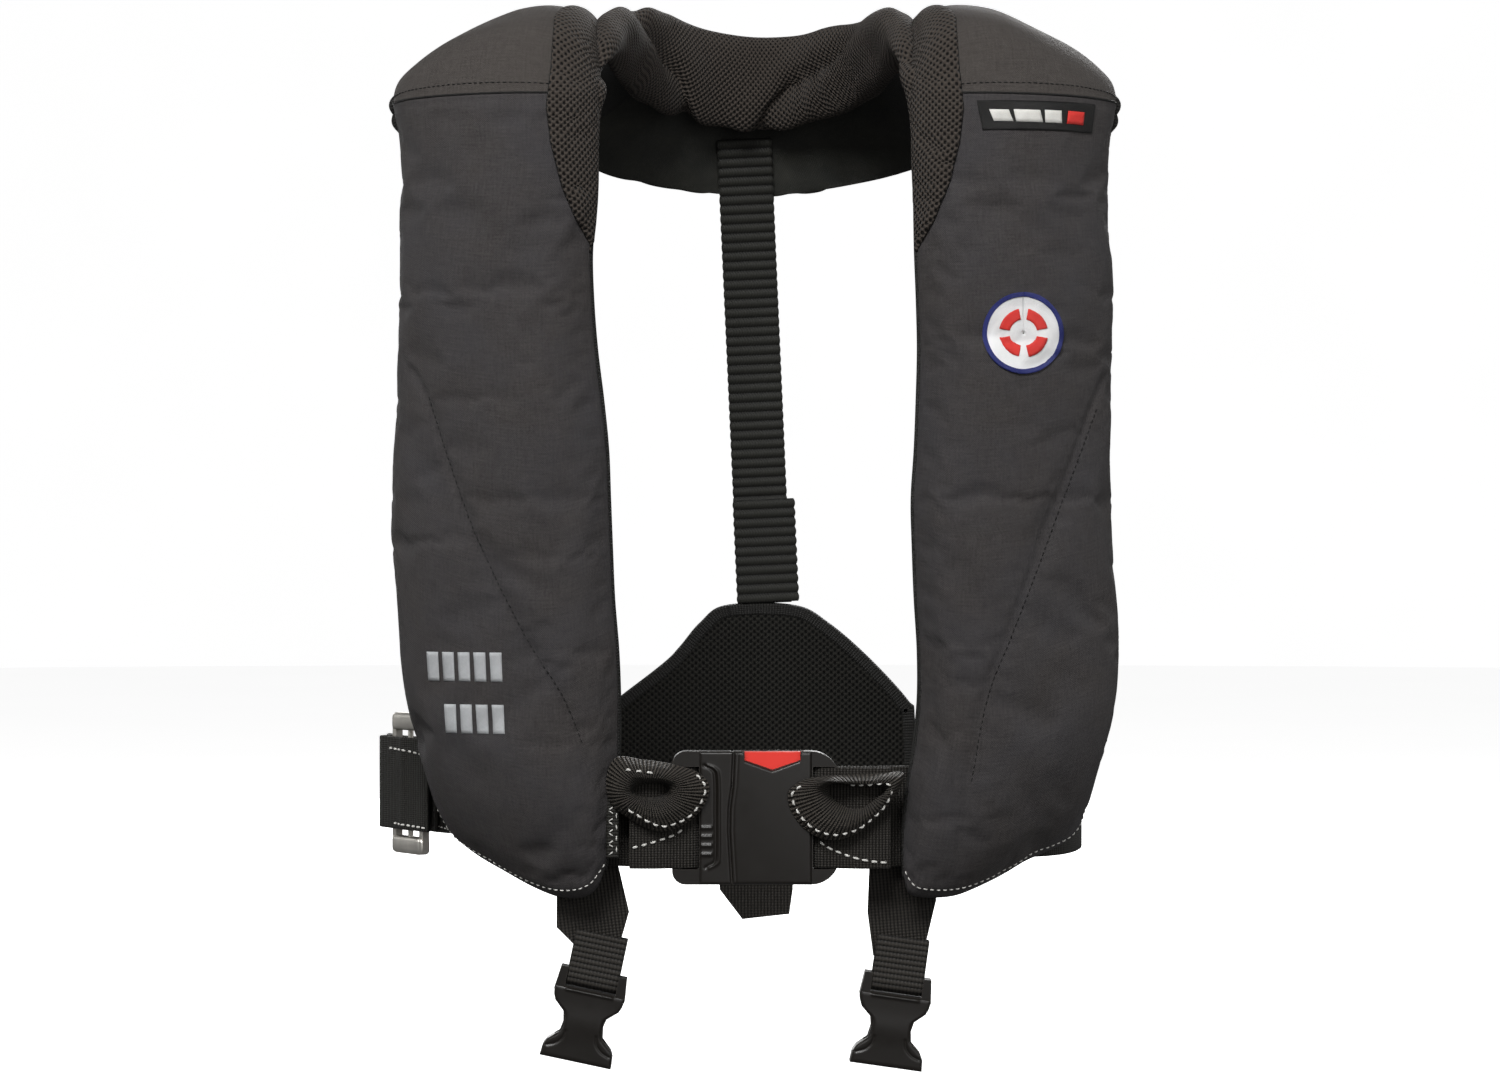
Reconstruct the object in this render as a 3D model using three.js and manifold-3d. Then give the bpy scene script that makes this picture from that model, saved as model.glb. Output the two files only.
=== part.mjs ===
// Inflatable life jacket with a waist belt, a back strap and two leg-strap buckles, shown as worn.
// Millimetres, +Z up. The front faces -Y, and the wearer's right-hand lobe is on the -X side.
// The origin is on the wearer's neck axis, level with the seam where the lobes meet the shoulder yokes.
import * as THREE from "three";
import { mergeVertices } from "three/addons/utils/BufferGeometryUtils.js";
import Module from "manifold-3d";

const wasm = await Module();
wasm.setup();

// ---- driving dimensions ----
const GAP = 0.3; // between faces that touch
const FABRIC = 2.4; // cover cloth with its hem allowance
const LINING = 3;
const BELT_WIDTH = 50;
const BELT_THICK = 2.4;
const BELT_Z = -378; // middle of the waist belt
const BACK_WEB_WIDTH = 31;
const LEG_WEB_WIDTH = 26;
const SEAM_Z = -5; // top of the lobes
const SECTION_STEPS = 8; // facets across a lobe's arch
const LOBE_INNER_Y = -112;
const LOBE_OUTER_Y = -60;
const BUCKLE_Y = -112; // middle plane of the waist buckle
const BUCKLE_HEIGHT = 69;
const BUCKLE_THICK = 13;
const BUTTON_TRAVEL = 3;
const LEVER_LENGTH = 30;
const PULL_CORD_DIAMETER = 3;
const CYLINDER_RADIUS = 14.5;
const CYLINDER_LENGTH = 120;
const INFLATOR_Z = -345;

// Each lobe's inner and outer edge, as [z, distance from the middle plane], and its inner edge at the belt.
const LOBES = {
  right: {
    side: -1,
    atBelt: 72,
    inner: [[-5, 82], [-60, 82], [-110, 84], [-162, 79], [-214, 75], [-292, 71], [-340, 70], [-380, 73], [-407, 79], [-420, 88]],
    outer: [[-5, 190], [-32, 186], [-110, 186], [-190, 189], [-240, 188], [-292, 183], [-340, 175], [-380, 165], [-396, 154], [-407, 136], [-415, 116], [-420, 100]],
  },
  left: {
    side: 1,
    atBelt: 82,
    inner: [[-5, 81], [-60, 83], [-136, 85], [-214, 81], [-292, 84], [-340, 82], [-380, 77], [-407, 78], [-420, 86]],
    outer: [[-5, 190], [-32, 185], [-110, 187], [-214, 184], [-266, 186], [-318, 183], [-360, 177], [-383, 172], [-396, 160], [-407, 138], [-415, 120], [-420, 104]],
  },
};
const LOBE_DEPTH = [[-5, 40], [-60, 42], [-340, 43], [-370, 38], [-395, 24], [-412, 10], [-420, 5]]; // [z, arch height]
const LOBE_STATIONS = [-5, -32, -60, -110, -162, -214, -266, -318, -345, -370, -385, -396, -407, -415, -420];

// Shoulder and neck stations for x > 0, from the seam to the middle of the back: inner edge, outer edge,
// face direction and arch height.
const NECK = [
  { inner: [81.5, -112, -5], outer: [190, -60, -5], face: [0.44, -0.9, 0], arch: 40 },
  { inner: [82, -100, 10], outer: [188, -51, 4], face: [0.4, -0.62, 0.67], arch: 38 },
  { inner: [80, -72, 20], outer: [184, -37, 6], face: [0.3, -0.1, 0.95], arch: 34 },
  { inner: [76, -35, 24], outer: [172, -13, 4], face: [0.22, 0.15, 0.96], arch: 32 },
  { inner: [69, 5, 26], outer: [150, 19, -4], face: [0.2, 0.42, 0.88], arch: 30 },
  { inner: [56, 36, 28], outer: [115, 52, -16], face: [0.25, 0.72, 0.64], arch: 28 },
  { inner: [32, 56, 30], outer: [66, 76, -30], face: [0.14, 0.9, 0.42], arch: 26 },
  { inner: [0, 63, 31], outer: [0, 84, -38], face: [0, 0.96, 0.29], arch: 25 },
];

// ---- materials ----
const cloth = (color) => new THREE.MeshStandardMaterial({ color, roughness: 0.9, metalness: 0 });
const coverCloth = cloth(0x3a3837);
const yokeCloth = cloth(0x454341);
const liningCloth = cloth(0x1e1e1c);
const mesh3d = cloth(0x24211f);
const webbing = cloth(0x191917);
const bladderCloth = cloth(0xe8a51c);
const cordRed = cloth(0xc8281c);
const plastic = new THREE.MeshStandardMaterial({ color: 0x2a2726, roughness: 0.45, metalness: 0 });
const redPlastic = new THREE.MeshStandardMaterial({ color: 0xe0352a, roughness: 0.4, metalness: 0 });
const yellowPlastic = new THREE.MeshStandardMaterial({ color: 0xe9c81e, roughness: 0.4, metalness: 0 });
const clearPlastic = new THREE.MeshStandardMaterial({ color: 0xf2f4ee, roughness: 0.1, metalness: 0 });
const steel = new THREE.MeshStandardMaterial({ color: 0xb9b4ac, roughness: 0.25, metalness: 1 });
const paintedSteel = new THREE.MeshStandardMaterial({ color: 0x8d9094, roughness: 0.35, metalness: 0.8 });

const jacket = new THREE.Group();

function add(name, geometry, material, parent = jacket) {
  const piece = new THREE.Mesh(geometry, material);
  piece.name = name;
  parent.add(piece);
  return piece;
}

// ---- geometry helpers ----
const vec = (p) => new THREE.Vector3(...p);
const mirrorX = (p) => [-p[0], p[1], p[2]];

// The value at z of a list of [z, value], with z falling.
function along(table, z) {
  for (let i = 1; i < table.length; i++) {
    const [z0, v0] = table[i - 1];
    const [z1, v1] = table[i];
    if (z >= z1) return v0 + ((v1 - v0) * (z0 - z)) / (z0 - z1);
  }
  return table[table.length - 1][1];
}

// The triangles that close a ring, wound the same way as the ring.
function capOf(ring) {
  const contour = ring.map(([p, q]) => new THREE.Vector2(p, q));
  const triangles = THREE.ShapeUtils.triangulateShape(contour, []);
  return THREE.ShapeUtils.area(contour) > 0 ? triangles : triangles.map(([i, j, k]) => [k, j, i]);
}

// A closed body through stations, each { origin, a, b, ring }, where a ring is a list of [p, q] along the axes a and b.
function loft(stations) {
  const count = stations[0].ring.length;
  const positions = [];
  for (const { origin, a, b, ring } of stations) {
    for (const [p, q] of ring) {
      const point = vec(origin).addScaledVector(a, p).addScaledVector(b, q);
      positions.push(point.x, point.y, point.z);
    }
  }
  const index = [];
  for (let s = 0; s < stations.length - 1; s++) {
    for (let i = 0; i < count; i++) {
      const here = s * count + i;
      const next = s * count + ((i + 1) % count);
      index.push(here, next, next + count, here, next + count, here + count);
    }
  }
  const last = (stations.length - 1) * count;
  for (const [i, j, k] of capOf(stations[0].ring)) index.push(k, j, i);
  for (const [i, j, k] of capOf(stations[stations.length - 1].ring)) index.push(last + i, last + j, last + k);
  const geometry = new THREE.BufferGeometry();
  geometry.setAttribute("position", new THREE.Float32BufferAttribute(positions, 3));
  geometry.setIndex(index);
  return facingOut(geometry);
}

// The geometry with its equal corners made one, and nothing but positions.
function indexed(geometry) {
  const bare = geometry.clone();
  bare.deleteAttribute("normal");
  bare.deleteAttribute("uv");
  return mergeVertices(bare, 1e-3);
}

// The geometry with its faces turned to point out, if they point in.
function facingOut(geometry) {
  const p = geometry.getAttribute("position");
  const index = geometry.index.array;
  let volume = 0;
  const [a, b, c] = [new THREE.Vector3(), new THREE.Vector3(), new THREE.Vector3()];
  for (let i = 0; i < index.length; i += 3) {
    a.fromBufferAttribute(p, index[i]);
    b.fromBufferAttribute(p, index[i + 1]);
    c.fromBufferAttribute(p, index[i + 2]);
    volume += a.dot(b.cross(c));
  }
  if (volume < 0) for (let i = 0; i < index.length; i += 3) [index[i], index[i + 1]] = [index[i + 1], index[i]];
  return geometry;
}

function solid(geometry) {
  const merged = indexed(geometry);
  return new wasm.Manifold(
    new wasm.Mesh({
      numProp: 3,
      vertProperties: merged.getAttribute("position").array,
      triVerts: new Uint32Array(merged.index.array),
    }),
  );
}

function geometryOf(manifold) {
  const { numProp, numVert, vertProperties, triVerts } = manifold.getMesh();
  const positions = new Float32Array(numVert * 3);
  for (let i = 0; i < numVert; i++) positions.set(vertProperties.subarray(i * numProp, i * numProp + 3), i * 3);
  const geometry = new THREE.BufferGeometry();
  geometry.setAttribute("position", new THREE.BufferAttribute(positions, 3));
  geometry.setIndex(new THREE.BufferAttribute(triVerts, 1));
  return geometry;
}

const cut = (body, ...tools) => geometryOf(tools.reduce((left, tool) => left.subtract(solid(tool)), solid(body)));
const join = (first, ...others) => geometryOf(others.reduce((sum, other) => sum.add(solid(other)), solid(first)));

// A box between two corners.
function box([x0, y0, z0], [x1, y1, z1]) {
  return new THREE.BoxGeometry(x1 - x0, y1 - y0, z1 - z0).translate((x0 + x1) / 2, (y0 + y1) / 2, (z0 + z1) / 2);
}

// A cylinder along an axis "x", "y" or "z", centred at a point.
function rod(axis, radius, length, centre, sides = 16) {
  const geometry = new THREE.CylinderGeometry(radius, radius, length, sides);
  if (axis === "x") geometry.rotateZ(Math.PI / 2);
  if (axis === "z") geometry.rotateX(Math.PI / 2);
  return geometry.translate(...centre);
}

// An outline in the XZ plane, extruded along Y from y0 to y1.
function plate(shape, y0, y1, curveSegments = 5) {
  const geometry = new THREE.ExtrudeGeometry(shape, { depth: y1 - y0, bevelEnabled: false, curveSegments });
  return geometry.rotateX(Math.PI / 2).translate(0, y1, 0);
}

// A rounded rectangle between two corners, with a radius for its left and for its right corners.
function roundedShape(x0, z0, x1, z1, left, right = left) {
  const shape = new THREE.Shape();
  shape.moveTo(x0 + left, z0);
  shape.lineTo(x1 - right, z0);
  if (right) shape.absarc(x1 - right, z0 + right, right, -Math.PI / 2, 0);
  shape.lineTo(x1, z1 - right);
  if (right) shape.absarc(x1 - right, z1 - right, right, 0, Math.PI / 2);
  shape.lineTo(x0 + left, z1);
  if (left) shape.absarc(x0 + left, z1 - left, left, Math.PI / 2, Math.PI);
  shape.lineTo(x0, z0 + left);
  if (left) shape.absarc(x0 + left, z0 + left, left, Math.PI, 1.5 * Math.PI);
  return shape;
}

// The outline of a strap of a given thickness along a flat curve through points, as a Shape.
function ribbon(points, thick, steps) {
  const curve = new THREE.CatmullRomCurve3(points.map(([u, v]) => new THREE.Vector3(u, v, 0)), false, "centripetal");
  const [one, other] = [[], []];
  for (let i = 0; i <= steps; i++) {
    const at = curve.getPointAt(i / steps);
    const t = curve.getTangentAt(i / steps);
    one.push(new THREE.Vector2(at.x - (t.y * thick) / 2, at.y + (t.x * thick) / 2));
    other.push(new THREE.Vector2(at.x + (t.y * thick) / 2, at.y - (t.x * thick) / 2));
  }
  return new THREE.Shape([...one, ...other.reverse()]);
}

// A strap that lies along a curve in plan, standing width tall from z0.
function beltAlong(points, z0, width, steps, thick = BELT_THICK) {
  return new THREE.ExtrudeGeometry(ribbon(points, thick, steps), { depth: width, bevelEnabled: false }).translate(0, 0, z0);
}

// A strap that lies along a curve of [y, z] points, and is width wide about x.
function strapAlong(points, x, width, steps, thick) {
  const geometry = new THREE.ExtrudeGeometry(ribbon(points, thick, steps), { depth: width, bevelEnabled: false });
  const axes = [new THREE.Vector3(0, 1, 0), new THREE.Vector3(0, 0, 1), new THREE.Vector3(1, 0, 0)];
  return geometry.applyMatrix4(new THREE.Matrix4().makeBasis(...axes)).translate(x - width / 2, 0, 0);
}

// ---- the arch section of lobes, yokes and collar ----
// A station's frame from its two edges and its face direction: a runs from inner to outer edge, b points out of the face.
function frameOf(inner, outer, face) {
  const a = vec(outer).sub(vec(inner));
  const half = a.length() / 2;
  a.normalize();
  const b = vec(face);
  b.addScaledVector(a, -b.dot(a)).normalize();
  const origin = vec(inner).add(vec(outer)).multiplyScalar(0.5).toArray();
  return { origin, a, b, half };
}

const archAt = (u) => Math.sqrt(Math.max(0, 1 - u * u));

// A skin that arches over the chord between the edges, open on the chord.
function archRing(half, arch) {
  const ring = [];
  const innerHalf = half - FABRIC * 1.5;
  const innerArch = Math.max(arch - FABRIC, arch * 0.4);
  for (let i = 0; i <= SECTION_STEPS; i++) {
    const u = -Math.cos((Math.PI * i) / SECTION_STEPS);
    ring.push([half * u, arch * archAt(u)]);
  }
  for (let i = SECTION_STEPS; i >= 0; i--) {
    const u = -Math.cos((Math.PI * i) / SECTION_STEPS);
    ring.push([innerHalf * u, innerArch * archAt(u)]);
  }
  return ring;
}

// The full section, from the chord out, grown by margin.
function fullRing(half, arch, margin = 0) {
  const ring = [];
  for (let i = 0; i <= SECTION_STEPS; i++) {
    const u = -Math.cos((Math.PI * i) / SECTION_STEPS);
    ring.push([(half + margin) * u, -margin + (arch + 2 * margin) * archAt(u)]);
  }
  ring.push([half + margin, -LINING - margin - GAP], [-half - margin, -LINING - margin - GAP]);
  return ring;
}

const liningRing = (half) => [[-half, -GAP], [half, -GAP], [half, -GAP - LINING], [-half, -GAP - LINING]];
// The collar's lining sits deeper, as the collar twists.
const collarLiningRing = (half) => liningRing(half).map(([p, q]) => [p, q - 1.2]);

function lobeStation(lobe, z, ringOf) {
  const width = along(lobe.outer, z) - lobe.atBelt;
  const outerY = Math.min(LOBE_OUTER_Y, LOBE_INNER_Y + width / 2);
  const inner = [lobe.side * along(lobe.inner, z), LOBE_INNER_Y, z];
  const outer = [lobe.side * along(lobe.outer, z), outerY, z];
  const frame = frameOf(inner, outer, [lobe.side * 0.44, -0.9, 0]);
  return { ...frame, ring: ringOf(frame.half, along(LOBE_DEPTH, z), z) };
}

// Smooth curves through the neck stations, from the right seam (0) round the back (BACK) to the left seam.
const BACK = NECK.length - 1;
const roundTheNeck = (pick) => {
  const left = NECK.map(pick);
  const points = [...left.slice(0, -1).map(mirrorX), ...left.reverse()];
  return new THREE.CatmullRomCurve3(points.map(vec), false, "catmullrom");
};
const NECK_CURVES = {
  inner: roundTheNeck((station) => station.inner),
  outer: roundTheNeck((station) => station.outer),
  face: roundTheNeck((station) => station.face),
  arch: roundTheNeck((station) => [0, station.arch, 0]),
};

function neckStation(step, ringOf) {
  const at = (name) => NECK_CURVES[name].getPoint(step / (2 * BACK)).toArray();
  const frame = frameOf(at("inner"), at("outer"), at("face"));
  return { ...frame, ring: ringOf(frame.half, at("arch")[1]) };
}

const lobeLoft = (lobe, zs, ringOf) => loft(zs.map((z) => lobeStation(lobe, z, ringOf)));
const neckSteps = (from, to) => Array.from({ length: (to - from) * 2 + 1 }, (_, i) => from + i / 2);
const neckLoft = (from, to, ringOf) => loft(neckSteps(from, to).map((step) => neckStation(step, ringOf)));

// A flat block inside the hollow, between two heights above the chord.
const blockRing = (low, high) => (half) => [
  [-half * 0.62, low],
  [half * 0.62, low],
  [half * 0.5, high],
  [-half * 0.5, high],
];

// ---- lobes ----
const LINING_STATIONS = [-5, -32, -60, -110, -162, -214, -266, -318, -345, -370, -380];
const belowSeam = (z) => (z === SEAM_Z ? z - GAP : z);

for (const [name, lobe] of Object.entries(LOBES)) {
  add(`cover_${name}`, lobeLoft(lobe, LOBE_STATIONS.map(belowSeam), archRing), coverCloth);
  add(`lining_${name}`, lobeLoft(lobe, LINING_STATIONS.map(belowSeam), liningRing), liningCloth);
}

// ---- shoulder yokes, collar back and its lining ----
const YOKE_END = 5;
const YOKES = { right: [0, YOKE_END], left: [2 * BACK - YOKE_END, 2 * BACK] };
const COLLAR = [YOKE_END, 2 * BACK - YOKE_END];
for (const [name, [from, to]] of Object.entries(YOKES)) {
  add(`yoke_${name}`, neckLoft(from, to, archRing), yokeCloth);
  add(`yoke_lining_${name}`, neckLoft(from, to, collarLiningRing), liningCloth);
}
// The collar's back meets the yokes face to face, with the usual gap.
const yokeEnds = [[YOKE_END - 1, YOKE_END], [2 * BACK - YOKE_END, 2 * BACK - YOKE_END + 1]].map(([from, to]) =>
  neckLoft(from, to, (half, arch) => fullRing(half, arch, 3)).translate(0, GAP * 1.5, 0),
);
add("collar_back", cut(neckLoft(...COLLAR, archRing), ...yokeEnds), coverCloth);
add("collar_flap", cut(neckLoft(...COLLAR, collarLiningRing), ...yokeEnds), liningCloth);

// ---- padded mesh round the neck ----
// Stations for x > 0: middle, direction of the long axis, and the two half sizes.
const MESH_PAD = [
  { at: [85, -117, -82], long: [1, 0, 0], half: [2.5, 2.5] },
  { at: [88, -119, -45], long: [1, 0, 0.1], half: [9, 6] },
  { at: [91, -119, -5], long: [0.95, 0, -0.3], half: [13, 8] },
  { at: [87, -101, 22], long: [0.8, 0, -0.6], half: [17, 9] },
  { at: [78, -60, 35], long: [0.5, 0, -0.87], half: [19, 9] },
  { at: [67, -15, 34], long: [0.2, 0, -0.98], half: [21, 9] },
  { at: [53, 20, 29], long: [0.1, 0.05, -1], half: [24, 9] },
  { at: [30, 42, 24], long: [0, 0.1, -1], half: [25, 9] },
  { at: [0, 50, 21], long: [0, 0.12, -1], half: [26, 9] },
];
const PAD_SIDES = 8;

function padStation(index, side) {
  const turn = side > 0 ? (p) => p : mirrorX;
  const here = vec(turn(MESH_PAD[index].at));
  const before = vec(turn(MESH_PAD[Math.max(index - 1, 0)].at));
  const isMiddle = index === MESH_PAD.length - 1;
  const tangent = isMiddle ? new THREE.Vector3(-side, 0, 0) : vec(turn(MESH_PAD[index + 1].at)).sub(before).normalize();
  const a = vec(turn(MESH_PAD[index].long));
  a.addScaledVector(tangent, -a.dot(tangent)).normalize();
  const b = a.clone().cross(tangent).multiplyScalar(side).normalize();
  const [p, q] = MESH_PAD[index].half;
  const ring = [];
  for (let i = 0; i < PAD_SIDES; i++) {
    const angle = (2 * Math.PI * i) / PAD_SIDES;
    ring.push([p * Math.cos(angle), q * Math.sin(angle)]);
  }
  return { origin: here.toArray(), a, b, ring };
}

const PAD_RIGHT = MESH_PAD.map((_, i) => padStation(i, -1));
const PAD_LEFT = MESH_PAD.slice(0, -1).map((_, i) => padStation(i, 1)).reverse();
const grown = (half, arch) => fullRing(half, arch, 1.2);
const grownDeeper = (half, arch) => grown(half, arch).map(([p, q]) => [p, q < 0 ? q - 1.8 : q]);
const envelopes = [
  neckLoft(0, 2 * BACK, grownDeeper),
  ...Object.values(LOBES).map((lobe) => lobeLoft(lobe, LOBE_STATIONS, grown)),
];
add("neck_mesh_pad", cut(loft([...PAD_RIGHT, ...PAD_LEFT]), ...envelopes), mesh3d);

// ---- folded twin-chamber bladder inside the covers ----
// One chamber runs on down the right lobe to its inflator, the other down the left lobe to its own.
const LAYERS = { inner: [4, 9], outer: [12, 17.5], tail: [0.6, 3] };

function bladderLeg(lobe, layer, hasTail) {
  const upper = [-8, -60, -110, -162, -185].map((z) => lobeStation(lobe, z, blockRing(...LAYERS[layer])));
  if (!hasTail) return upper;
  const neck = lobeStation(lobe, -191, blockRing(...LAYERS[layer]));
  const tail = [-213, -266, -318, -345, -360].map((z) => lobeStation(lobe, z, blockRing(...LAYERS.tail)));
  return [...upper, neck, ...tail];
}

for (const [layer, tailSide] of [["inner", "right"], ["outer", "left"]]) {
  const right = bladderLeg(LOBES.right, layer, tailSide === "right").reverse();
  const round = neckSteps(0.5, 2 * BACK - 0.5).map((step) => neckStation(step, blockRing(...LAYERS[layer])));
  const left = bladderLeg(LOBES.left, layer, tailSide === "left");
  add(`bladder_${layer}_chamber`, loft([...right, ...round, ...left]), bladderCloth);
}

// ---- gas inflators inside the lobes ----
// Local axes in a lobe: x runs outboard along the lining, y out through the cover, z up.
const POCKETS = {
  right: { origin: [-127.7, -86, 0], out: [-0.9077, 0.4196, 0], face: [-0.4196, -0.9077, 0], shift: 7 },
  left: { origin: [134.5, -86, 0], out: [0.8907, 0.4545, 0], face: [0.4545, -0.8907, 0], shift: 3 },
};

function inPocket(geometry, pocket) {
  const basis = new THREE.Matrix4().makeBasis(vec(pocket.out), vec(pocket.face), new THREE.Vector3(0, 0, 1));
  basis.setPosition(vec(pocket.origin).addScaledVector(vec(pocket.out), pocket.shift));
  return facingOut(indexed(geometry).applyMatrix4(basis));
}

// A turned body from a list of [radius, z].
function turned(profile, sides) {
  const a = new THREE.Vector3(1, 0, 0);
  const b = new THREE.Vector3(0, 1, 0);
  const stations = profile.map(([radius, z]) => {
    const ring = [];
    for (let i = 0; i < sides; i++) {
      const angle = (2 * Math.PI * i) / sides;
      ring.push([radius * Math.cos(angle), radius * Math.sin(angle)]);
    }
    return { origin: [0, 0, z], a, b, ring };
  });
  return loft(stations);
}

const BODY_TOP = INFLATOR_Z + 7;
const LEVER_Z = INFLATOR_Z - 7;
const PIN_X = 4; // the lever's pin, from the cylinder's axis
const CYLINDER_AXIS = 20; // in front of the lining
const NECK_RADIUS = 5.6;
const CORD_TOP = [PIN_X - LEVER_LENGTH + 3, 5.5, LEVER_Z - 3.9];
const CORD_SLANT = -0.195; // back towards the wearer, per millimetre down
const TOGGLE_TOP = -404.4;

for (const [name, pocket] of Object.entries(POCKETS)) {
  const place = (piece, geometry, material) => add(`${piece}_${name}`, inPocket(geometry, pocket), material);

  const cylinderTop = BODY_TOP + 3 + CYLINDER_LENGTH;
  const cylinder = turned(
    [
      [NECK_RADIUS, BODY_TOP - 8],
      [NECK_RADIUS, BODY_TOP + 3],
      [CYLINDER_RADIUS, BODY_TOP + 13],
      [CYLINDER_RADIUS, cylinderTop - 14],
      [CYLINDER_RADIUS * 0.75, cylinderTop - 4],
      [CYLINDER_RADIUS * 0.3, cylinderTop],
    ],
    16,
  ).translate(0, CYLINDER_AXIS, 0);
  place("co2_cylinder", cylinder, paintedSteel);

  const body = cut(
    box([-13, 8, INFLATOR_Z - 21], [13, 27, BODY_TOP]),
    rod("z", NECK_RADIUS + GAP, 10, [0, CYLINDER_AXIS, BODY_TOP - 3.5]),
    rod("y", 2.3, 8, [PIN_X, 10, LEVER_Z], 12),
  );
  place("inflator_body", body, yellowPlastic);
  place("inflator_cap", rod("z", 8, 9, [0, 17, INFLATOR_Z - 21 - GAP - 4.5]), redPlastic);
  place("inflation_valve", rod("y", 4.4, 3.4, [8, 6, INFLATOR_Z + 1.8], 12), plastic);

  const lever = cut(
    box([PIN_X - LEVER_LENGTH, 4.2, LEVER_Z - 3.5], [PIN_X + 3.5, 7.4, LEVER_Z + 3.5]),
    rod("y", 2.3, 8, [PIN_X, 6, LEVER_Z], 12),
  );
  place("inflator_lever", lever, redPlastic);
  const pin = join(rod("y", 2, 10, [PIN_X, 8.6, LEVER_Z], 12), rod("y", 3.2, 0.6, [PIN_X, 3.6, LEVER_Z], 12));
  place("lever_pin", pin, steel);

  const [cordX, cordY, cordZ] = CORD_TOP;
  const drop = cordZ - TOGGLE_TOP - GAP;
  const alongCord = [0, drop].map((down) => ({
    origin: [cordX, cordY + CORD_SLANT * down, cordZ - down],
    a: new THREE.Vector3(PULL_CORD_DIAMETER / 2, 0, 0),
    b: new THREE.Vector3(0, PULL_CORD_DIAMETER / 2, 0),
    ring: [[1, 0], [0.5, 0.866], [-0.5, 0.866], [-1, 0], [-0.5, -0.866], [0.5, -0.866]],
  }));
  place("pull_cord", loft(alongCord), cordRed);
  const toggleY = cordY + CORD_SLANT * (drop + 4);
  place("pull_toggle", box([cordX - 7, toggleY - 2.2, TOGGLE_TOP - 7], [cordX + 7, toggleY + 2.2, TOGGLE_TOP]), redPlastic);

  place("oral_tube", rod("z", 5, 85, [-38, 10, -262.5], 12), plastic);
  place("oral_tube_cap", rod("z", 6.5, 14, [-38, 11.5, -312.3], 12), redPlastic);
}
add("whistle", inPocket(box([24, 5, -296], [36, 16, -250]), POCKETS.right), yellowPlastic);
add("light_battery", inPocket(box([26, 5, -300], [40, 15, -262]), POCKETS.left), yellowPlastic);
add("light_lens", inPocket(rod("z", 5, 16, [33, 10, -253.7], 12), POCKETS.left), clearPlastic);

// ---- waist belt ----
const RUN_START = [-155, -62.5];
const RUN_DIRECTION = [-0.583, 0.812];
const runAt = (distance) => [RUN_START[0] + RUN_DIRECTION[0] * distance, RUN_START[1] + RUN_DIRECTION[1] * distance];
const BELT_PATH = [
  ...[[88, -100.5], [110, -89.5], [138, -76], [158, -64], [171, -40], [178, 0], [171, 45], [150, 80], [125, 99]],
  ...[[96, 109.5], [60, 112], [0, 113], [-60, 112], [-96, 109.5], [-125, 101], [-155, 85], [-181, 60], [-198, 30]],
  ...[[-202, 12], ...[72, 54, 36, 18, 0].map(runAt), [-130, -76], [-100, -91], [-80, -101]],
];
// The belt rides up towards its adjuster, and comes back down at the buckle and behind the back.
const ADJUSTER_LIFT = 11.5;
function risingToAdjuster(geometry) {
  const place = geometry.attributes.position;
  for (let i = 0; i < place.count; i++) {
    const outwards = THREE.MathUtils.smoothstep(-place.getX(i), 105, 160);
    const behind = THREE.MathUtils.smoothstep(place.getY(i), 10, 90);
    place.setZ(i, place.getZ(i) + ADJUSTER_LIFT * outwards * (1 - behind));
  }
  return geometry;
}
const waistBelt = beltAlong(BELT_PATH, BELT_Z - BELT_WIDTH / 2, BELT_WIDTH, 72);
add("waist_belt", risingToAdjuster(waistBelt), webbing);

// Each end of the belt is folded round a bar of the buckle, and comes back in front.
const LOOP_PATHS = {
  right: [
    ...[[-98, -88.2], [-84, -96], [-70, -103], [-56, -106.6], [-44, -106.9], [-39.5, -106.9], [-35, -107.8]],
    ...[[-32.8, -112], [-35, -116.2], [-39.5, -117.1], [-44, -117.8], [-54, -120], [-65, -119]],
  ],
  left: [
    ...[[108, -87.2], [92, -95.6], [76, -103], [60, -106.6], [45, -106.9], [40.5, -106.9], [36, -107.8]],
    ...[[33.8, -112], [36, -116.2], [40.5, -117.1], [45, -117.8], [56, -120], [70, -119]],
  ],
};
const LOOP_Z = BELT_Z - BELT_WIDTH / 2 - 1;
for (const [name, path] of Object.entries(LOOP_PATHS))
  add(`belt_loop_${name}`, beltAlong(path, LOOP_Z, BELT_WIDTH, 44, 2), webbing);
add("belt_keeper", box([-71, -113.2, -402], [-67.6, -110.8, -362]), webbing);

// ---- slide adjuster at the wearer's right ----
const ADJUSTER_AT = 44.3; // along the belt's straight run
const ADJUSTER_OUT = 6.4; // in front of the belt's middle plane
const ADJUSTER_SIZE = [32, 4, 76];
const ADJUSTER_ANGLE = Math.atan2(RUN_DIRECTION[1], RUN_DIRECTION[0]);
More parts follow.
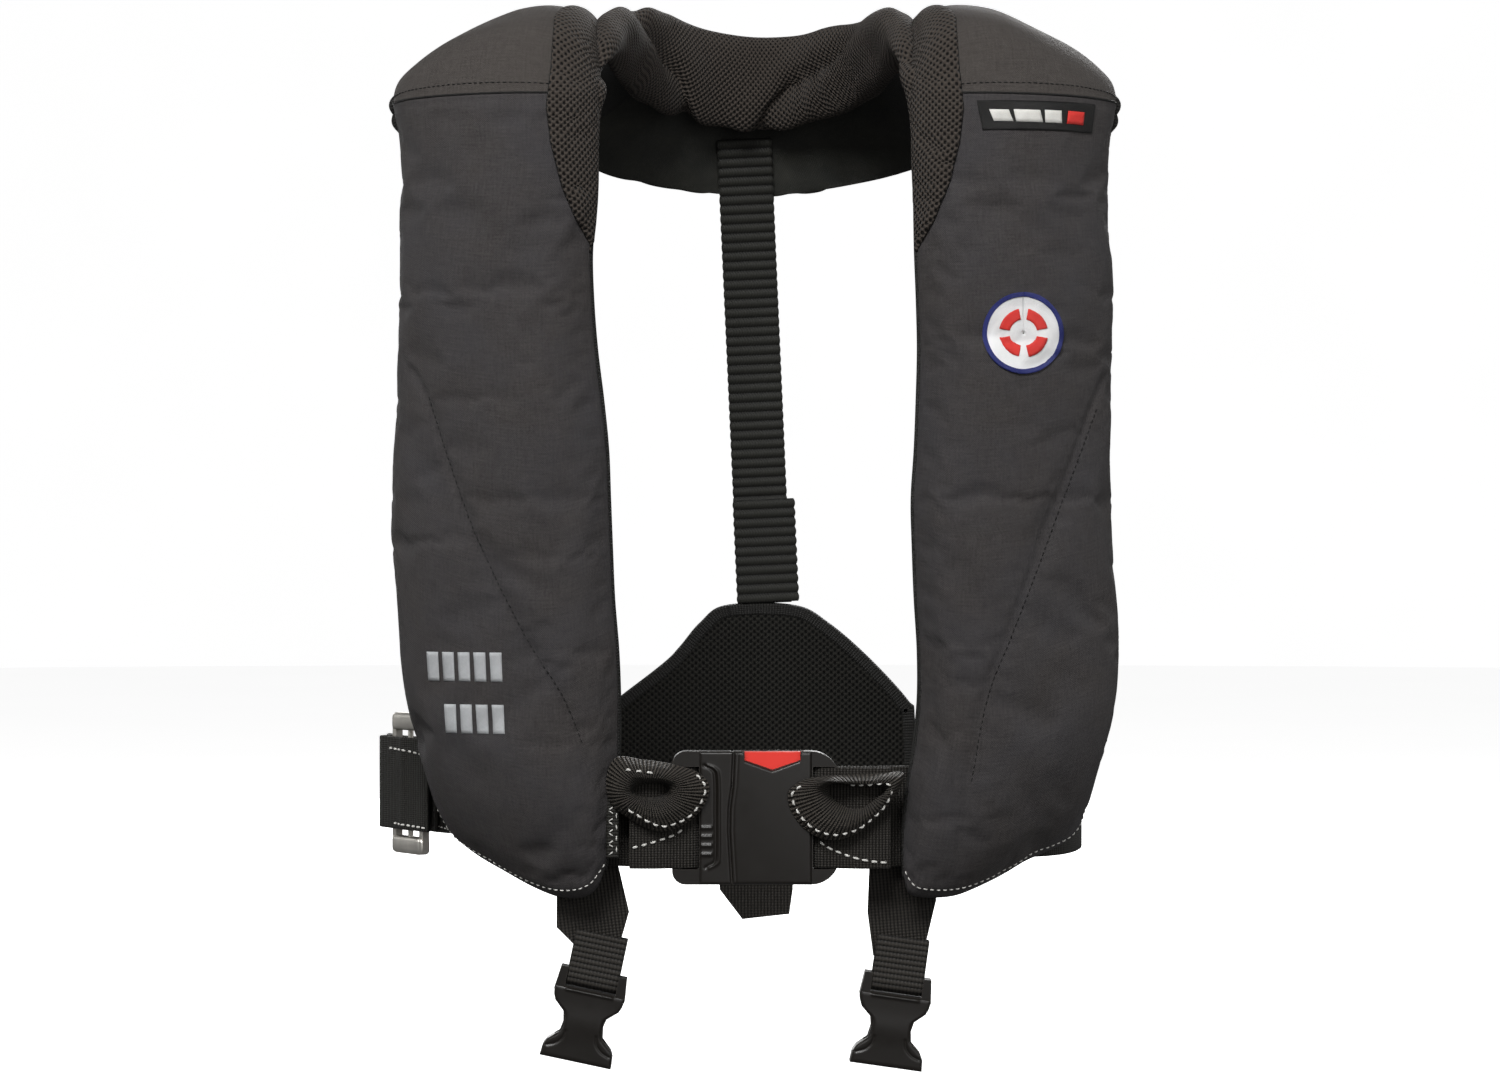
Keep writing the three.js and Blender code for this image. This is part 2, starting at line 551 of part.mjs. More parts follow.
// Local axes on the belt: x runs back along the belt, -y towards the wearer.
function onBelt(geometry) {
  const [x, y] = runAt(ADJUSTER_AT);
  const offset = [RUN_DIRECTION[1] * -ADJUSTER_OUT, RUN_DIRECTION[0] * ADJUSTER_OUT];
  return indexed(geometry).rotateZ(ADJUSTER_ANGLE).translate(x + offset[0], y + offset[1], BELT_Z + ADJUSTER_LIFT);
}
const [ADJUSTER_LONG, ADJUSTER_THICK, ADJUSTER_TALL] = ADJUSTER_SIZE;
const halfLong = ADJUSTER_LONG / 2;
const halfTall = ADJUSTER_TALL / 2;
const adjusterFrame = cut(
  plate(roundedShape(-halfLong, -halfTall, halfLong, halfTall, 4), -ADJUSTER_THICK / 2, ADJUSTER_THICK / 2),
  box([-halfLong + 4, -3, -halfTall + 5], [halfLong - 4, 3, halfTall - 5]),
  rod("z", 1.8, ADJUSTER_TALL - 5, [0, 0, 0], 12),
);
add("adjuster_frame", onBelt(adjusterFrame), steel);
add("adjuster_bar", onBelt(rod("z", 1.5, ADJUSTER_TALL - 6, [0, 0, 0], 12)), steel);
const END_LOOP = [
  ...[[27, 3.6], [12, 3.6], [4, 3.5], [0, 3.3], [-2.5, 2.2], [-3.3, 0]],
  ...[[-2.5, -2.2], [0, -3.3], [4, -3.5], [12, -3.6], [27, -3.6]],
];
add("belt_end_loop", onBelt(beltAlong(END_LOOP, -25, 50, 32, 2)), webbing);

// ---- waist buckle ----
const BUCKLE_BACK = BUCKLE_Y + BUCKLE_THICK / 2;
const BUCKLE_FRONT = BUCKLE_Y - BUCKLE_THICK / 2;
const BUCKLE_MIDDLE = -379;
const BUCKLE_TOP = BUCKLE_MIDDLE + BUCKLE_HEIGHT / 2;
const BUCKLE_BOTTOM = BUCKLE_MIDDLE - BUCKLE_HEIGHT / 2;
const SLOT_HALF = 26.6;
const TONGUE_HALF = 17;
const TONGUE_END = 12;
const TONGUE_THICK = 5;
const SEAM_X = -12;

// The slot a belt loop goes through, and the relief that lets the loop lie flush over its bar.
function beltSlot(side) {
  const [from, to] = side > 0 ? [30, 39] : [-38, -29];
  const [barFrom, barTo] = side > 0 ? [38.9, 46] : [-46, -37.9];
  const [low, high] = [BUCKLE_MIDDLE - SLOT_HALF, BUCKLE_MIDDLE + SLOT_HALF];
  return [
    box([from, BUCKLE_FRONT - 1, low], [to, BUCKLE_BACK + 1, high]),
    box([barFrom, BUCKLE_FRONT - 1, low], [barTo, BUCKLE_FRONT + 3, high]),
    box([barFrom, BUCKLE_BACK - 3, low], [barTo, BUCKLE_BACK + 1, high]),
  ];
}

const tongueBox = (margin, from, to) =>
  box(
    [from, BUCKLE_Y - TONGUE_THICK / 2 - margin, BUCKLE_MIDDLE - TONGUE_HALF - margin],
    [to, BUCKLE_Y + TONGUE_THICK / 2 + margin, BUCKLE_MIDDLE + TONGUE_HALF + margin],
  );

const BUTTON = { left: -7, right: 25, bottom: -357, pocket: -357 - BUTTON_TRAVEL - 0.5, half: 3.7 };
const windowShape = new THREE.Shape([
  new THREE.Vector2(BUTTON.left + 1.5, BUCKLE_TOP + 1),
  new THREE.Vector2(BUTTON.left + 1.5, -349),
  new THREE.Vector2(9, -354),
  new THREE.Vector2(BUTTON.right - 1.5, -349),
  new THREE.Vector2(BUTTON.right - 1.5, BUCKLE_TOP + 1),
]);
const SPRING_X = 22.6;
const housing = cut(
  plate(roundedShape(SEAM_X + GAP / 2, BUCKLE_BOTTOM, 44, BUCKLE_TOP, 1, 15), BUCKLE_FRONT, BUCKLE_BACK),
  ...beltSlot(1),
  tongueBox(0.4, SEAM_X - 1, TONGUE_END + 0.6),
  box(
    [BUTTON.left - GAP, BUCKLE_Y - BUTTON.half - GAP, BUTTON.pocket],
    [BUTTON.right + GAP, BUCKLE_Y + BUTTON.half + GAP, BUCKLE_TOP + 1],
  ),
  plate(windowShape, BUCKLE_FRONT - 1, BUCKLE_Y - BUTTON.half),
  rod("z", 2.3, 13, [SPRING_X, BUCKLE_Y, -365.5], 12),
);
add("buckle_housing", housing, plastic);

const GRIP_RIBS = [-384, -388.6, -393.2, -397.8];
const grips = [
  box([-21.5, BUCKLE_FRONT - 1, -405], [-18.5, BUCKLE_FRONT + 0.8, -352.5]),
  ...GRIP_RIBS.map((z) => box([-27.5, BUCKLE_FRONT - 1, z - 1.2], [-22.8, BUCKLE_FRONT + 0.9, z + 1.2])),
];
const tongue = join(
  cut(
    plate(roundedShape(-43, BUCKLE_BOTTOM, SEAM_X - GAP / 2, BUCKLE_TOP, 7, 1), BUCKLE_FRONT, BUCKLE_BACK),
    ...beltSlot(-1),
    ...grips,
  ),
  cut(
    tongueBox(0, SEAM_X - 2, TONGUE_END),
    box([1, BUCKLE_Y - 4, BUCKLE_MIDDLE + 13], [7, BUCKLE_Y + 4, BUCKLE_MIDDLE + 18]),
  ),
);
add("buckle_tongue", tongue, plastic);

const button = box(
  [BUTTON.left, BUCKLE_Y - BUTTON.half, BUTTON.bottom],
  [BUTTON.right, BUCKLE_Y + BUTTON.half, BUCKLE_TOP - 0.4],
);
add("buckle_button", button, redPlastic);

// A coil of round wire, standing on z.
function coil(radius, wire, bottom, top, turns) {
  const steps = turns * 10;
  const stations = [];
  for (let i = 0; i <= steps; i++) {
    const angle = (2 * Math.PI * i) / 10;
    const ring = [[wire, 0], [0, wire], [-wire, 0], [0, -wire]];
    const a = new THREE.Vector3(Math.cos(angle), Math.sin(angle), 0);
    const origin = [radius * a.x, radius * a.y, bottom + wire + ((top - bottom - 2 * wire) * i) / steps];
    stations.push({ origin, a, b: new THREE.Vector3(0, 0, 1), ring });
  }
  return loft(stations);
}
add("button_spring", coil(1.5, 0.4, -371.6, BUTTON.bottom - GAP, 6).translate(SPRING_X, BUCKLE_Y, 0), steel);

// ---- back strap, back pad and crotch strap ----
const BACK_STRAP = [[66.6, -8], [71.8, -25], [76.4, -41], [87, -90], [96, -160], [100, -220], [102, -271.5]];
const slanted = (geometry) => geometry.translate(6, 0, 8).rotateY(-0.045).translate(-6, 0, -8);
add("back_strap", slanted(strapAlong(BACK_STRAP, -6, BACK_WEB_WIDTH, 22, 2.4)), webbing);
const PATCH = [[96.4, -212], [97.8, -235], [99, -271]];
add("back_strap_patch", slanted(strapAlong(PATCH, -4, 36, 4, 2)), webbing);

const PAD_OUTLINE = [
  ...[[-16, -272.5], [-31.7, -283], [-49, -303], [-79.5, -327], [-92, -340], [-92, -404], [-84, -410]],
  ...[[84, -410], [92, -404], [92, -338], [88, -327], [66, -303], [43, -283], [23, -272.5]],
];
// The outline moved in by a distance.
function inset(outline, distance) {
  const count = outline.length;
  return outline.map(([x, z], i) => {
    const [px, pz] = outline[(i + count - 1) % count];
    const [nx, nz] = outline[(i + 1) % count];
    const before = new THREE.Vector2(x - px, z - pz).normalize();
    const after = new THREE.Vector2(nx - x, nz - z).normalize();
    const inward = new THREE.Vector2(-(before.y + after.y), before.x + after.x).normalize();
    const stretch = distance / Math.max(0.5, inward.dot(new THREE.Vector2(-before.y, before.x)));
    return [x + inward.x * stretch, z + inward.y * stretch];
  });
}
const shapeOf = (outline) => new THREE.Shape(outline.map(([x, z]) => new THREE.Vector2(x, z)));
add("back_pad", plate(shapeOf(inset(PAD_OUTLINE, 7.5)), 99, 105.5), mesh3d);
add(
  "back_pad_binding",
  cut(plate(shapeOf(PAD_OUTLINE), 98.5, 106), plate(shapeOf(inset(PAD_OUTLINE, 7.5 - GAP)), 97, 108)),
  liningCloth,
);
const CROTCH_OUTLINE = [[-22, -410.4], [23, -410.4], [22, -436], [20, -450], [-7, -453], [-20, -436]];
add("crotch_strap", plate(shapeOf(CROTCH_OUTLINE.reverse()), 101, 103.4), webbing);

// ---- leg straps with female side-release buckles ----
const LEG_Y = -93;
const LEGS = {
  right: {
    bar: [-85, LEG_Y, -465],
    tilt: 0.21,
    strap: [[-101, -404.4], [-72, -404.4], [-66, -430], [-72, -451], [-95, -447], [-104, -438], [-104, -422]],
  },
  left: {
    bar: [74.5, LEG_Y, -467],
    tilt: 0.14,
    strap: [[60, -404.4], [95, -404.4], [95, -424], [88, -453], [62, -453], [59, -430]],
  },
};
const LEG_BUCKLE_HALF = 5.5;
const HAIRPIN = [
  ...[[-3.2, 24], [-3.2, 10], [-3.25, 3], [-3.2, 0], [-2.3, -2.3], [0, -3.2]],
  ...[[2.3, -2.3], [3.2, 0], [3.25, 3], [3.2, 10], [3.2, 24]],
];
const LEG_OUTLINE = [
  ...[[4, 17.5], [-8, 18.8], [-14, 17], [-19, 11.5], [-24, 10.5], [-30, 11.5], [-35, 17], [-38, 18.5], [-44, 19]],
];
const LEG_MOUTH = [[-13.5, 11], [-16, 11], [-20, 7.5], [-31, 7.5], [-36, 14.5], [-45, 15.5]];
const symmetric = (table) => shapeOf([...table.map(([z, x]) => [x, z]), ...[...table].reverse().map(([z, x]) => [-x, z])]);

for (const [name, leg] of Object.entries(LEGS)) {
  const hang = (geometry) => indexed(geometry).rotateY(leg.tilt).translate(...leg.bar);
  const shell = cut(
    plate(symmetric(LEG_OUTLINE), -LEG_BUCKLE_HALF, LEG_BUCKLE_HALF),
    box([-13.5, -6, -6], [13.5, 6, 5]),
    plate(symmetric(LEG_MOUTH), -3.5, 3.5),
    box([6, -3.2, -32], [20, 3.2, -16]),
    box([-20, -3.2, -32], [-6, 3.2, -16]),
  );
  add(`leg_strap_${name}`, plate(shapeOf(leg.strap), LEG_Y - 1.1, LEG_Y + 1.1), webbing);
  add(`leg_loop_${name}`, hang(strapAlong(HAIRPIN, 0, LEG_WEB_WIDTH, 36, 1.6)), webbing);
  add(`leg_buckle_${name}`, hang(join(shell, rod("x", 2, 29, [0, 0, 0], 12))), plastic);
}

export default jacket;
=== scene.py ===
"""The looks of an inflatable life jacket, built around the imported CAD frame.

Lengths in this file are millimetres in the frame's axes (+X to the wearer's left, +Y to the wearer's back,
+Z up) unless a name says otherwise; mesh_of() turns them into metres.
"""

import math

import bmesh
import bpy
import numpy as np
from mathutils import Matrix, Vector
from mathutils.bvhtree import BVHTree


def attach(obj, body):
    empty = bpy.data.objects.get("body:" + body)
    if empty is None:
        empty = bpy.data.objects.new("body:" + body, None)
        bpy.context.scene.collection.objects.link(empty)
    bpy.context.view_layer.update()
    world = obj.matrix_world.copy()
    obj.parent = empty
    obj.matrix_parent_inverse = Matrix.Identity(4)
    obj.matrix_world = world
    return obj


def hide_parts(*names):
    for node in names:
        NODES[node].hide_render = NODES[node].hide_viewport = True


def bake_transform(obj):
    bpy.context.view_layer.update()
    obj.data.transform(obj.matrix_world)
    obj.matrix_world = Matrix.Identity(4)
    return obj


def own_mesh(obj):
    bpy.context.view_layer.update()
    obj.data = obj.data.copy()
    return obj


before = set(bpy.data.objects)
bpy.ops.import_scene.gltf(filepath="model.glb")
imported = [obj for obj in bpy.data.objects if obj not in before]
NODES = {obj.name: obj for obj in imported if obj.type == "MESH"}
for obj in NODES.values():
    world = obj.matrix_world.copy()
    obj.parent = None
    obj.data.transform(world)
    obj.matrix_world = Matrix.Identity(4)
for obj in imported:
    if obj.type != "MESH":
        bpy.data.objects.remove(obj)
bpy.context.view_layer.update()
MM = 0.001
rng = np.random.default_rng(7)


# ---------------------------------------------------------------- camera, floor and light
SENSOR_MM, LENS_MM = 36, 92.3
camera_data = bpy.data.cameras.new("camera")
camera_data.sensor_width = SENSOR_MM
camera_data.lens = LENS_MM
camera = bpy.data.objects.new("camera", camera_data)
camera.location = (-0.0026, -2.110, -0.235)
camera.rotation_euler = (math.pi / 2, 0, 0)
bpy.context.collection.objects.link(camera)
bpy.context.scene.camera = camera


def area_light(name, place, at, size, watts):
    """A soft lamp at `place`, facing `at`, both in metres."""
    data = bpy.data.lights.new(name, "AREA")
    data.shape = "RECTANGLE"
    data.size, data.size_y = size
    data.energy = watts
    light = bpy.data.objects.new(name, data)
    light.location = place
    light.rotation_euler = (Vector(at) - light.location).to_track_quat("-Z", "Y").to_euler()
    light.visible_camera = False
    bpy.context.collection.objects.link(light)


area_light("key", (-0.3, -1.6, 1.0), (0, 0, 0.0), (0.8, 0.6), 36)
area_light("fill", (0.7, -2.2, 0.1), (0, 0, -0.2), (1.2, 1.0), 9)
area_light("back_key", (0.5, 1.9, 0.9), (0, 0, -0.15), (0.9, 0.7), 40)
area_light("back_fill", (-0.8, 2.1, 0.0), (0, 0, -0.2), (1.2, 1.0), 12)
area_light("side_right", (-2.2, -0.1, 0.4), (0, 0, -0.2), (1.0, 1.0), 11)
area_light("side_left", (2.2, -0.1, 0.4), (0, 0, -0.2), (1.0, 1.0), 11)
world = bpy.data.worlds.new("studio")
world.use_nodes = True
background = world.node_tree.nodes["Background"]
background.inputs["Color"].default_value = (1, 1, 1, 1)
background.inputs["Strength"].default_value = 0.14
bpy.context.scene.world = world
bpy.context.scene.view_settings.view_transform = "Standard"


# ---------------------------------------------------------------- materials
def srgb(r, g, b):
    """An 8-bit colour as a linear one."""
    return tuple(((c / 255 + 0.055) / 1.055) ** 2.4 if c > 10 else c / 255 / 12.92 for c in (r, g, b)) + (1.0,)


class Finish:
    """A node-based material: short calls that add one node each and return its output."""

    def __init__(self, name, **sockets):
        self.material = bpy.data.materials.new(name)
        self.material.use_nodes = True
        self.tree = self.material.node_tree
        self.shader = self.tree.nodes["Principled BSDF"]
        for socket, value in sockets.items():
            self.shader.inputs[socket.replace("_", " ")].default_value = value

    def node(self, kind, output=0, settings=(), **inputs):
        node = self.tree.nodes.new("ShaderNode" + kind)
        for key, value in dict(settings).items():
            setattr(node, key, value)
        for key, value in inputs.items():
            self.put(node.inputs[int(key[1:]) if key[0] == "i" and key[1:].isdigit() else key], value)
        return node.outputs[output]

    def put(self, socket, value):
        if isinstance(value, bpy.types.NodeSocket):
            self.tree.links.new(value, socket)
        else:
            socket.default_value = value

    def math(self, operation, a, b=0.0, c=0.0):
        return self.node("Math", settings={"operation": operation}, i0=a, i1=b, i2=c)

    def uv(self):
        vector = self.node("UVMap")
        split = self.tree.nodes.new("ShaderNodeSeparateXYZ")
        self.tree.links.new(vector, split.inputs[0])
        return vector, split.outputs[0], split.outputs[1]

    def place(self):
        return self.node("TexCoord", output=3)

    def noise(self, vector, scale, detail=2.0, rough=0.5):
        return self.node("TexNoise", Vector=vector, Scale=scale, Detail=detail, Roughness=rough)

    def wave(self, along, pitch, phase=0.0):
        """A sine from -1 to 1 with that pitch, in metres."""
        return self.math("SINE", self.math("MULTIPLY_ADD", along, 2 * math.pi / pitch, phase))

    def ramp(self, value, stops):
        node = self.tree.nodes.new("ShaderNodeValToRGB")
        ramp = node.color_ramp
        while len(ramp.elements) < len(stops):
            ramp.elements.new(0.5)
        for element, (at, colour) in zip(ramp.elements, stops):
            element.position = at
            element.color = colour
        self.tree.links.new(value, node.inputs[0])
        return node.outputs[0]

    def blend(self, factor, a, b):
        node = self.tree.nodes.new("ShaderNodeMix")
        node.data_type = "RGBA"
        self.put(node.inputs[0], factor)
        self.put(node.inputs[6], a)
        self.put(node.inputs[7], b)
        return node.outputs[2]

    def bump(self, height, distance_mm, strength=1.0):
        out = self.node("Bump", Height=height, Distance=distance_mm * MM, Strength=strength)
        self.tree.links.new(out, self.shader.inputs["Normal"])

    def colour(self, value):
        self.put(self.shader.inputs["Base Color"], value)

    def rough(self, value):
        self.put(self.shader.inputs["Roughness"], value)


def canvas(name, dark, light, bluish, grain=1.0):
    """A coated canvas: plain weave, heathered yarn and a slow change of tone."""
    f = Finish(name, Roughness=0.85, Specular_IOR_Level=0.18)
    f.shader.inputs["Sheen Weight"].default_value = 0.04
    f.shader.inputs["Sheen Roughness"].default_value = 0.5
    vector, u, v = f.uv()
    weave = f.math("MULTIPLY", f.wave(u, 0.0011), f.wave(v, 0.0011))
    yarn = f.noise(vector, 900.0, 3.0, 0.7)
    slub_u = f.node("TexNoise", Vector=f.node("Mapping", Vector=vector, Scale=(900, 90, 1)), Scale=1.0, Detail=2.0)
    slub_v = f.node("TexNoise", Vector=f.node("Mapping", Vector=vector, Scale=(90, 900, 1)), Scale=1.0, Detail=2.0)
    slow = f.noise(vector, 14.0, 3.0, 0.6)
    tone = f.math("ADD", f.math("MULTIPLY", yarn, 0.5), f.math("MULTIPLY", f.math("ADD", slub_u, slub_v), 0.25))
    speck = f.ramp(tone, [(0.36, dark), (0.64, light)])
    f.colour(f.blend(f.ramp(slow, [(0.38, (0, 0, 0, 1)), (0.66, (1, 1, 1, 1))]), speck, bluish(f, speck)))
    f.bump(f.math("MULTIPLY_ADD", tone, 1.2, f.math("MULTIPLY", weave, 0.35)), 0.35 * grain, 0.7)
    f.rough(f.math("MULTIPLY_ADD", yarn, 0.2, 0.72))
    return f.material


def tint(colour, share):
    def apply(f, base):
        return f.blend(share, base, colour)

    return apply


def spacer(name, thread, hole, across=0.0036, along=0.0034):
    """Spacer mesh: rows of diamond holes between raised threads."""
    f = Finish(name, Roughness=0.9, Specular_IOR_Level=0.15)
    f.shader.inputs["Sheen Weight"].default_value = 0.04
    vector, u, v = f.uv()
    a = f.math("COSINE", f.math("MULTIPLY", u, 2 * math.pi / across))
    b = f.math("COSINE", f.math("MULTIPLY", v, 2 * math.pi / along))
    net = f.math("MULTIPLY", a, b)
    wobble = f.math("MULTIPLY_ADD", f.noise(vector, 260.0, 2.0), 0.5, f.math("ADD", net, -0.25))
    shade = f.ramp(f.math("MULTIPLY_ADD", wobble, -0.5, 0.5), [(0.2, hole), (0.48, thread)])
    f.colour(shade)
    f.bump(f.math("MULTIPLY", wobble, -1.0), 0.9, 0.9)
    return f.material


def ribbed(name, dark, light, pitch, lengthways, cross=0.0011, depth=0.35):
    """Webbing: ribs at that pitch along or across it, each made of short stitches of yarn, coloured with painted shade
    in the rib valleys and a painted highlight on the rib tops.
    """
    f = Finish(name, Roughness=0.62, Specular_IOR_Level=0.22)
    f.shader.inputs["Sheen Weight"].default_value = 0.03
    vector, u, v = f.uv()
    a, b = (u, v) if lengthways else (v, u)
    rib = f.math("ABSOLUTE", f.math("SINE", f.math("MULTIPLY", a, math.pi / pitch)))
    yarn = f.math("MULTIPLY_ADD", f.wave(b, cross), 0.22, rib)
    grain = f.noise(vector, 1400.0, 2.0)
    height = f.math("MULTIPLY_ADD", grain, 0.3, yarn)
    # The colour follows the rib height: painted shade in the valleys, a painted highlight on the tops.
    f.colour(f.ramp(f.math("MULTIPLY", height, 0.8), [(0.05, dark), (0.95, light)]))
    f.bump(height, depth, 0.9)
    f.rough(f.math("MULTIPLY_ADD", grain, 0.2, 0.5))
    return f.material


def nylon(name, dark, light, rough=0.6, weave=0.0009):
    """A thin smooth lining or ribbon cloth."""
    f = Finish(name, Roughness=rough, Specular_IOR_Level=0.25)
    vector, u, v = f.uv()
    cloth = f.math("MULTIPLY", f.wave(u, weave), f.wave(v, weave))
    slow = f.noise(vector, 45.0, 4.0, 0.6)
    f.colour(f.ramp(f.math("MULTIPLY_ADD", cloth, 0.12, slow), [(0.3, dark), (0.7, light)]))
    f.bump(f.math("MULTIPLY_ADD", cloth, 0.25, slow), 0.5, 0.6)
    f.rough(f.math("MULTIPLY_ADD", slow, 0.25, rough - 0.12))
    return f.material


def plastic(name, base, worn_and_lit_edge, rough=0.42, grain=0.05):
    """Moulded plastic: a fine spark-eroded grain, faint scuffs, and paler edges, part wear and part painted highlight.
    """
    f = Finish(name, Roughness=rough, Specular_IOR_Level=0.4)
    at = f.place()
    fine = f.noise(at, 2600.0, 2.0)
    scuff = f.noise(at, 90.0, 5.0, 0.7)
    bevel = f.node("Bevel", Radius=0.0008)
    normal = f.node("NewGeometry", output=1)
    facing = f.node("VectorMath", output=1, settings={"operation": "DOT_PRODUCT"}, i0=bevel, i1=normal)
    # Paler edges: part wear, part a painted highlight along the rims.
    edge = f.ramp(facing, [(0.75, (1, 1, 1, 1)), (0.985, (0, 0, 0, 1))])
    wear_and_highlight = f.math("MULTIPLY", edge, f.math("MULTIPLY_ADD", scuff, 0.9, 0.1))
    f.colour(f.blend(wear_and_highlight, base, worn_and_lit_edge))
    f.bump(fine, grain, 0.6)
    f.rough(f.math("MULTIPLY_ADD", scuff, 0.22, rough - 0.11))
    return f.material


def metal(name, base, rough=0.16):
    """Bright plated wire and plate with fine rubbing marks."""
    f = Finish(name, Metallic=1.0, Roughness=rough)
    at = f.place()
    rub = f.node("TexNoise", Vector=f.node("Mapping", Vector=at, Scale=(60, 60, 900)), Scale=1.0, Detail=4.0)
    cloud = f.noise(at, 55.0, 3.0)
    f.colour(f.ramp(cloud, [(0.3, tuple(c * 0.72 for c in base[:3]) + (1,)), (0.7, base)]))
    f.rough(f.math("MULTIPLY_ADD", rub, 0.22, rough - 0.06))
    f.bump(rub, 0.05, 0.4)
    return f.material


M = {
    "cover": canvas("cover_cloth", srgb(47, 44, 44), srgb(68, 65, 64), tint(srgb(60, 61, 67), 0.3)),
    # The yoke cloth is the cover cloth made paler: painted light, standing in for the light from above on the upper
    # yokes.
    "yoke": canvas("yoke_cloth_lit", srgb(52, 48, 46), srgb(74, 70, 67), tint(srgb(66, 62, 58), 0.3)),
    "spacer": spacer("collar_mesh", srgb(66, 60, 55), srgb(14, 12, 11)),
    "pad_mesh": spacer("back_mesh", srgb(36, 35, 32), srgb(9, 9, 8), 0.0042, 0.0036),
    "flap": nylon("collar_flap_cloth", srgb(24, 25, 22), srgb(42, 42, 37), 0.5),
    "lining": nylon("lining_cloth", srgb(28, 28, 27), srgb(40, 40, 38), 0.6),
    # Binding and webbing: each first colour is painted shade for the rib valleys, each second a painted highlight for
    # the rib tops.
    "binding": ribbed("binding_tape", srgb(14, 14, 13), srgb(34, 33, 31), 0.0016, False),
    "web_long": ribbed("webbing_lengthways", srgb(9, 8, 8), srgb(50, 47, 43), 0.0019, True, 0.0016, 0.5),
    "web_cross": ribbed("webbing_crossways", srgb(7, 6, 6), srgb(54, 51, 47), 0.0028, False, 0.0019, 0.5),
    "web_fine": ribbed("webbing_fine", srgb(10, 10, 9), srgb(40, 39, 35), 0.0017, False),
    "web_fold": ribbed("webbing_loop", srgb(6, 6, 5), srgb(50, 47, 43), 0.0017, False, 0.0013, 0.6),
    "web_petal": ribbed("webbing_turned", srgb(6, 6, 5), srgb(72, 67, 61), 0.0017, True, 0.0013, 0.8),
    "web_back": ribbed("webbing_back", srgb(8, 8, 7), srgb(40, 40, 36), 0.0054, False, 0.0016, 0.3),
    # Each plastic's second colour is its paler edge: part wear, part painted highlight.
    "black": plastic("black_plastic", srgb(25, 22, 19), srgb(80, 75, 70), 0.38),
    "red": plastic("red_plastic", srgb(235, 58, 48), srgb(250, 130, 110), 0.36),
    "yellow": plastic("yellow_plastic", srgb(226, 178, 34), srgb(240, 214, 130), 0.4),
    "steel": metal("bright_steel", srgb(240, 236, 228), 0.34),
    "painted": plastic("painted_steel", srgb(70, 96, 66), srgb(150, 150, 140), 0.3),
    "bladder": nylon("bladder_cloth", srgb(206, 118, 20), srgb(232, 148, 40), 0.45),
    # The cord's first colour is painted shade in its rib valleys, its second a painted highlight on the tops.
    "cord": ribbed("cord_red", srgb(120, 14, 12), srgb(210, 40, 34), 0.0012, False),
    "thread": nylon("white_thread", srgb(206, 204, 198), srgb(244, 243, 238), 0.6, 0.0004),
    "dark_thread": nylon("dark_thread", srgb(14, 14, 14), srgb(30, 30, 29), 0.6, 0.0004),
    "label": nylon("label_ribbon", srgb(14, 14, 14), srgb(30, 29, 28), 0.45, 0.0006),
    "badge_white": nylon("badge_white", srgb(226, 226, 226), srgb(244, 244, 244), 0.4, 0.0006),
    "badge_navy": nylon("badge_navy", srgb(30, 36, 92), srgb(52, 58, 122), 0.4, 0.0006),
    "badge_red": nylon("badge_red", srgb(196, 44, 40), srgb(228, 66, 58), 0.4, 0.0006),
    "silver": nylon("reflective_tape", srgb(150, 152, 154), srgb(206, 208, 210), 0.35, 0.0008),
}

clear = Finish("clear_plastic", Roughness=0.08, IOR=1.49)
clear.shader.inputs["Transmission Weight"].default_value = 0.9
cloud = clear.noise(clear.place(), 60.0)
clear.colour(clear.ramp(cloud, [(0.3, (0.86, 0.88, 0.9, 1)), (0.7, (0.95, 0.96, 0.97, 1))]))
M["clear"] = clear.material

pale = Finish("studio_floor", Roughness=0.9)
pale.shader.inputs["Emission Color"].default_value = (1, 1, 1, 1)
pale.shader.inputs["Emission Strength"].default_value = 0.82
cloud = pale.noise(pale.place(), 3.0)
pale.colour(pale.ramp(cloud, [(0.3, (0.86, 0.86, 0.86, 1)), (0.7, (0.9, 0.9, 0.9, 1))]))
M["floor"] = pale.material


# ---------------------------------------------------------------- geometry helpers
def lengthened(p):
    """Points with one more at each end, straight on."""
    return np.concatenate([2 * p[:1] - p[1:2], p, 2 * p[-1:] - p[-2:-1]])


def catmull(p, i, t):
    """The share `t` of the way from p[i + 1] to p[i + 2] on a smooth line through the points."""
    a, b, c, d = p[i], p[i + 1], p[i + 2], p[i + 3]
    return 0.5 * (2 * b + (c - a) * t + (2 * a - 5 * b + 4 * c - d) * t**2 + (3 * b - a - 3 * c + d) * t**3)


def spline(points, count, closed=False):
    """`count` points, evenly spaced along a smooth line through the given ones."""
    p = np.asarray(points, float)
    ends = np.vstack([p[-1:], p, p[:2]]) if closed else lengthened(p)
    t = np.linspace(0, 1, 24, endpoint=False)[:, None]
    line = np.vstack([catmull(ends, i, t) for i in range(len(ends) - 3)] + [ends[-2:-1]])
    return evenly(line, count + 1)[:-1] if closed else evenly(line, count)


def evenly(line, count):
    """`count` points, evenly spaced along a polyline."""
    run = np.concatenate([[0], np.cumsum(np.linalg.norm(np.diff(line, axis=0), axis=1))])
    at = np.linspace(0, run[-1], count)
    return np.stack([np.interp(at, run, line[:, k]) for k in range(line.shape[1])], axis=1)


def smoothstep(x, low, high):
    t = np.clip((x - low) / (high - low), 0, 1)
    return t * t * (3 - 2 * t)


def unit(v):
    return v / np.maximum(np.linalg.norm(v, axis=-1, keepdims=True), 1e-9)


def link(obj):
    bpy.context.collection.objects.link(obj)
    return obj


